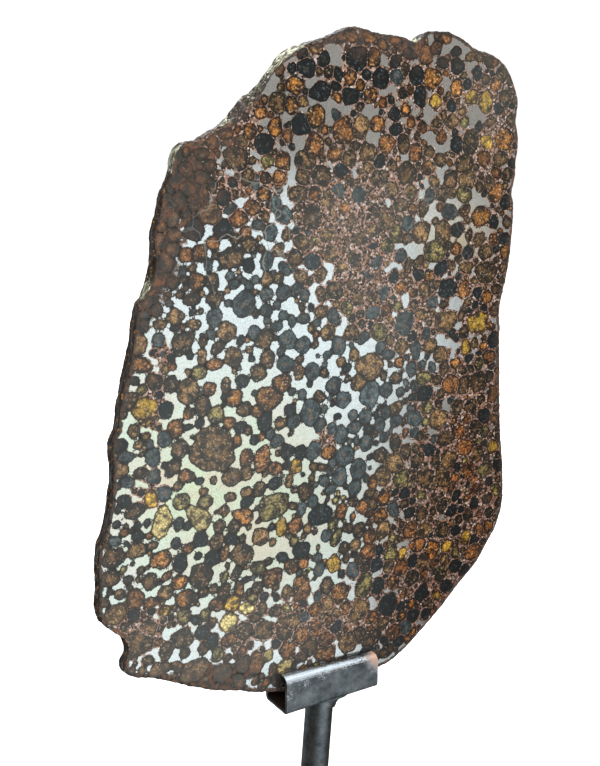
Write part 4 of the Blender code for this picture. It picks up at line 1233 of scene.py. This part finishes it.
def blackenedSteel():
    # Mild steel bent and welded, blackened and oiled: grey mill scale, a painted highlight, bright
    # with pink specks, along the top fold, a few rubbed scratches and a heat tint at one end.
    material, tree, shader, place, fields = newMaterial("steel_blackened", {})
    cloud, grit, patch = (
        addNode(tree, "TexNoise", Vector=place, Scale=1 / steelLook[name], Detail=detail, Roughness=rough)
        for name, detail, rough in (("cloud", 6.0, 0.62), ("grit", 4.0, 0.8), ("patch", 5.0, 0.7)))
    tone = addNode(tree, "Math", patch, 0.6, cloud, operation="MULTIPLY_ADD")
    tone = addNode(tree, "MapRange", tone, *steelLook["tone"])
    colour = addNode(tree, "MixRGB", tone, linear(steelLook["scale"]), linear(steelLook["light"]))
    # painted highlight: bright metal on the fold where it faces up towards the light, brighter to the
    # left and breaking up into specks below it
    normal = addNode(tree, "NewGeometry", out="Normal")
    facingLight = addNode(tree, "VectorMath", normal, (0.0, -0.6, 0.8), operation="DOT_PRODUCT", out="Value")
    axes = addNode(tree, "SeparateXYZ", place).node.outputs
    highlitFold = addNode(tree, "Math", patch, 0.5, facingLight, operation="MULTIPLY_ADD")
    highlitFold = addNode(tree, "Math", axes["X"], -0.005, highlitFold, operation="MULTIPLY_ADD")
    paintedHighlightAndMarks = addNode(tree, "Math", grit, highlitFold, operation="ADD")
    paintedHighlightAndMarks = addNode(tree, "MapRange", paintedHighlightAndMarks, *steelLook["highlightFrom"], **smooth)
    high = addNode(tree, "Math", axes["Z"], steelLook["highlightAbove"], operation="GREATER_THAN")
    paintedHighlightAndMarks = addNode(tree, "Math", paintedHighlightAndMarks, high, operation="MULTIPLY")
    # rubbed scratches on the front face join the painted highlight
    for spot in steelLook["scratches"]:
        away = addNode(tree, "VectorMath", place, spot, operation="DISTANCE", out="Value")
        near = addNode(tree, "MapRange", away, *steelLook["scratchReach"])
        near = addNode(tree, "Math", near, grit, operation="ADD")
        near = addNode(tree, "MapRange", near, *steelLook["scratched"])
        paintedHighlightAndMarks = addNode(tree, "Math", paintedHighlightAndMarks, near, operation="MAXIMUM")
    tint = addNode(tree, "VectorMath", place, steelLook["copperAt"], operation="DISTANCE", out="Value")
    tint = addNode(tree, "Math", cloud, -14.0, tint, operation="MULTIPLY_ADD")
    tint = addNode(tree, "Math", grit, -8.0, tint, operation="MULTIPLY_ADD")
    tint = addNode(tree, "MapRange", tint, *steelLook["copperReach"], 0.95, 0.0, **smooth)
    pink = addNode(tree, "MapRange", grit, *steelLook["pink"])
    bright = addNode(tree, "MixRGB", pink, linear(steelLook["paintedHighlightAndMarks"]), linear(steelLook["copper"]))
    bright = addNode(tree, "MixRGB", tint, bright, linear(steelLook["copper"]))
    paintedHighlightAndMarks = addNode(tree, "Math", paintedHighlightAndMarks, tint, operation="MAXIMUM")
    colour = addNode(tree, "MixRGB", paintedHighlightAndMarks, colour, bright)
    # the channel's hollow, dark brown and dull
    inside = addNode(tree, "Math", axes["Y"], *steelLook["hollow"], operation="COMPARE")
    for name, side in (("ceiling", "LESS_THAN"), ("floor", "GREATER_THAN")):
        slope, height = steelLook[name]
        level = addNode(tree, "Math", axes["X"], slope, axes["Z"], operation="MULTIPLY_ADD")
        level = addNode(tree, "Math", level, height, operation=side)
        inside = addNode(tree, "Math", inside, level, operation="MULTIPLY")
    colour = addNode(tree, "MixRGB", inside, colour, linear(steelLook["inside"]))
    dull = addNode(tree, "Math", tint, inside, operation="MAXIMUM")
    bare = addNode(tree, "MapRange", dull, *steelLook["metallic"])
    rough = addNode(tree, "MapRange", grit, *steelLook["roughness"])
    rough = addNode(tree, "Math", paintedHighlightAndMarks, 0.1, rough, operation="MULTIPLY_ADD")
    bump = addNode(tree, "Bump", Strength=0.35, Distance=0.1 * mm, Height=grit)
    connect(tree, shader, {"Base Color": colour, "Metallic": bare, "Roughness": rough, "Normal": bump})
    return material


# The stage, the light and the camera

studio = {
    "lights": {"sky": ("#f2ece6", 0.46), "wall": ("#f2ece6", 0.36), "dim": ("#f2ece6", 0.1),
               "ground": ("#eefaff", 1.24)},
    # degrees over which one part of the room gives way to the next
    "edges": {
        "horizon": (-1.4, 0.6),  # the bright ground below the dim room
        "paleFrom": (-40.0, -5.0), "paleTo": (37.4, 39.0),  # where the pale ground starts and ends
        "high": (-12.5, -9.5),  # near the horizon, where it ends further round
        "dimFrom": (62.0, 80.0),  # the unlit ground to the right; on the left it's at paleFrom
        "rearFrom": (120.0, 135.0), "rearHigh": (-25.0, -21.0),  # the pale ground behind
    },
    "paleToHigh": 2.6,  # degrees further round
    # small bright patches: azimuth, elevation and radius in degrees, colour and level
    "patches": ((40.2, -2.6, 1.6, "#fff0da", 1.0), (38.4, -4.2, 1.3, "#a7aebc", 0.9)),
    "patchEdge": (1.25, 0.7),  # of the radius
    "white": 1.05,  # what the camera sees
    "floorSize": 12.0,  # metres
    "floorGlow": (250.0, 750.0, 0.42, 1.0),  # millimetres from the middle, and the glow there
    "boxesAim": (0, 0, 0.2),  # metres
}


def worldLight():
    # white to the camera; to the object a room with a pale ground in front of and behind it
    world = bpy.data.worlds.new("studio")
    bpy.context.scene.world = world
    world.use_nodes = True
    tree = world.node_tree
    whole = addNode(tree, "TexCoord", out="Generated")
    way = addNode(tree, "SeparateXYZ", whole).node.outputs
    back = addNode(tree, "Math", way["Y"], -1.0, operation="MULTIPLY")
    turn = addNode(tree, "Math", way["X"], back, operation="ARCTAN2")
    rise = addNode(tree, "Math", way["Z"], operation="ARCSINE")
    around = addNode(tree, "Math", turn, operation="ABSOLUTE")
    edges = {name: [math.radians(a) for a in ends] for name, ends in studio["edges"].items()}

    below = addNode(tree, "MapRange", rise, *edges["horizon"], 1, 0, **smooth)
    high = addNode(tree, "MapRange", rise, *edges["high"], **smooth)
    drawn = addNode(tree, "Math", high, math.radians(-studio["paleToHigh"]), turn,
                    operation="MULTIPLY_ADD")
    started = addNode(tree, "MapRange", turn, *edges["paleFrom"], **smooth)
    ended = addNode(tree, "MapRange", drawn, *edges["paleTo"], 1, 0, **smooth)
    ahead = addNode(tree, "Math", started, ended, operation="MULTIPLY")
    rear = addNode(tree, "MapRange", around, *edges["rearFrom"], **smooth)
    rearHigh = addNode(tree, "MapRange", rise, *edges["rearHigh"], **smooth)
    behind = addNode(tree, "Math", rear, rearHigh, operation="MULTIPLY")
    pale = addNode(tree, "Math", ahead, behind, operation="MAXIMUM")
    right = addNode(tree, "MapRange", turn, *edges["dimFrom"], **smooth)
    left = addNode(tree, "MapRange", turn, *edges["paleFrom"], 1, 0, **smooth)
    aside = addNode(tree, "Math", right, left, operation="MAXIMUM")

    lit = {name: [c * level for c in linear(tint)] for name, (tint, level) in studio["lights"].items()}
    colour = addNode(tree, "MixRGB", below, lit["sky"], lit["wall"])
    for name, share in (("dim", aside), ("ground", pale)):
        share = addNode(tree, "Math", below, share, operation="MULTIPLY")
        colour = addNode(tree, "MixRGB", share, colour, lit[name])
    for azimuth, elevation, radius, tint, level in studio["patches"]:
        a, e = math.radians(azimuth), math.radians(elevation)
        toward = (math.sin(a) * math.cos(e), -math.cos(a) * math.cos(e), math.sin(e))
        near = addNode(tree, "VectorMath", whole, toward, operation="DOT_PRODUCT", out="Value")
        ends = (math.cos(math.radians(radius * share)) for share in studio["patchEdge"])
        near = addNode(tree, "MapRange", near, *ends, **smooth)
        colour = addNode(tree, "MixRGB", near, colour, [c * level for c in linear(tint)])
    seen = addNode(tree, "LightPath", out="Is Camera Ray")
    colour = addNode(tree, "MixRGB", seen, colour, (*[studio["white"]] * 3, 1.0))
    tree.links.new(colour, tree.nodes["Background"].inputs["Color"])


def paleFloor():
    mesh = bpy.data.meshes.new("floor")
    half = studio["floorSize"] / 2
    mesh.from_pydata([(-half, -half, 0), (half, -half, 0), (half, half, 0), (-half, half, 0)], [],
                     [(0, 1, 2, 3)])
    material, tree, shader, place, fields = newMaterial(
        "floor_paper", {"Base Color": linear("#f4f4f4"), "Roughness": 0.9,
                        "Emission Color": (1.0, 1.0, 1.0, 1.0)})
    away = addNode(tree, "VectorMath", place, operation="LENGTH", out="Value")
    connect(tree, shader, {"Emission Strength": addNode(tree, "MapRange", away, *studio["floorGlow"])})
    mesh.materials.append(material)
    floor = bpy.data.objects.new("floor", mesh)
    bpy.context.scene.collection.objects.link(floor)
    floor.visible_glossy = False
    floor.visible_diffuse = False


softboxes = {  # place in metres, size, power and colour
    "key": ((-0.75, -1.05, 1.05), 0.8, 15.0, "#fff8f0"),
    "overhead": ((0.10, 0.15, 1.45), 1.1, 16.0, "#ffffff"),
    "rear": ((0.55, 1.15, 0.85), 0.8, 10.0, "#f4f8ff"),
    "fold": ((0.62, -0.34, 1.17), 1.0, 3.6, "#eef6ff"),
}


def hangSoftboxes():
    for name, (place, size, power, tint) in softboxes.items():
        light = bpy.data.lights.new(name, "AREA")
        light.shape, light.size = "SQUARE", size
        light.energy, light.color = power, linear(tint)[:3]
        box = bpy.data.objects.new(name, light)
        box.location = place
        aim = Vector(studio["boxesAim"]) - box.location
        box.rotation_mode = "QUATERNION"
        box.rotation_quaternion = aim.to_track_quat("-Z", "Y")
        box.visible_camera = False
        bpy.context.scene.collection.objects.link(box)


def setCamera():
    place, right, up, back = cameraAxes()
    lens = bpy.data.cameras.new("photo_view")
    lens.lens, lens.sensor_width = cameraStand["lens"], cameraStand["sensor"]
    lens.clip_start = 0.01
    camera = bpy.data.objects.new("photo_view", lens)
    camera.matrix_world = (Matrix.Translation(place * mm)
                           @ Matrix((right, up, back)).transposed().to_4x4())
    bpy.context.scene.collection.objects.link(camera)
    bpy.context.scene.camera = camera


setCamera()
worldLight()
paleFloor()
hangSoftboxes()
bpy.context.scene.view_settings.view_transform = "Standard"
print("camera, floor and lights set")
buildSlab(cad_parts["slice"])
steel = blackenedSteel()
for name in ("bracket", "post", "base"):
    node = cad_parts[name]
    node.data.materials.clear()
    node.data.materials.append(steel)
print("stand finished")
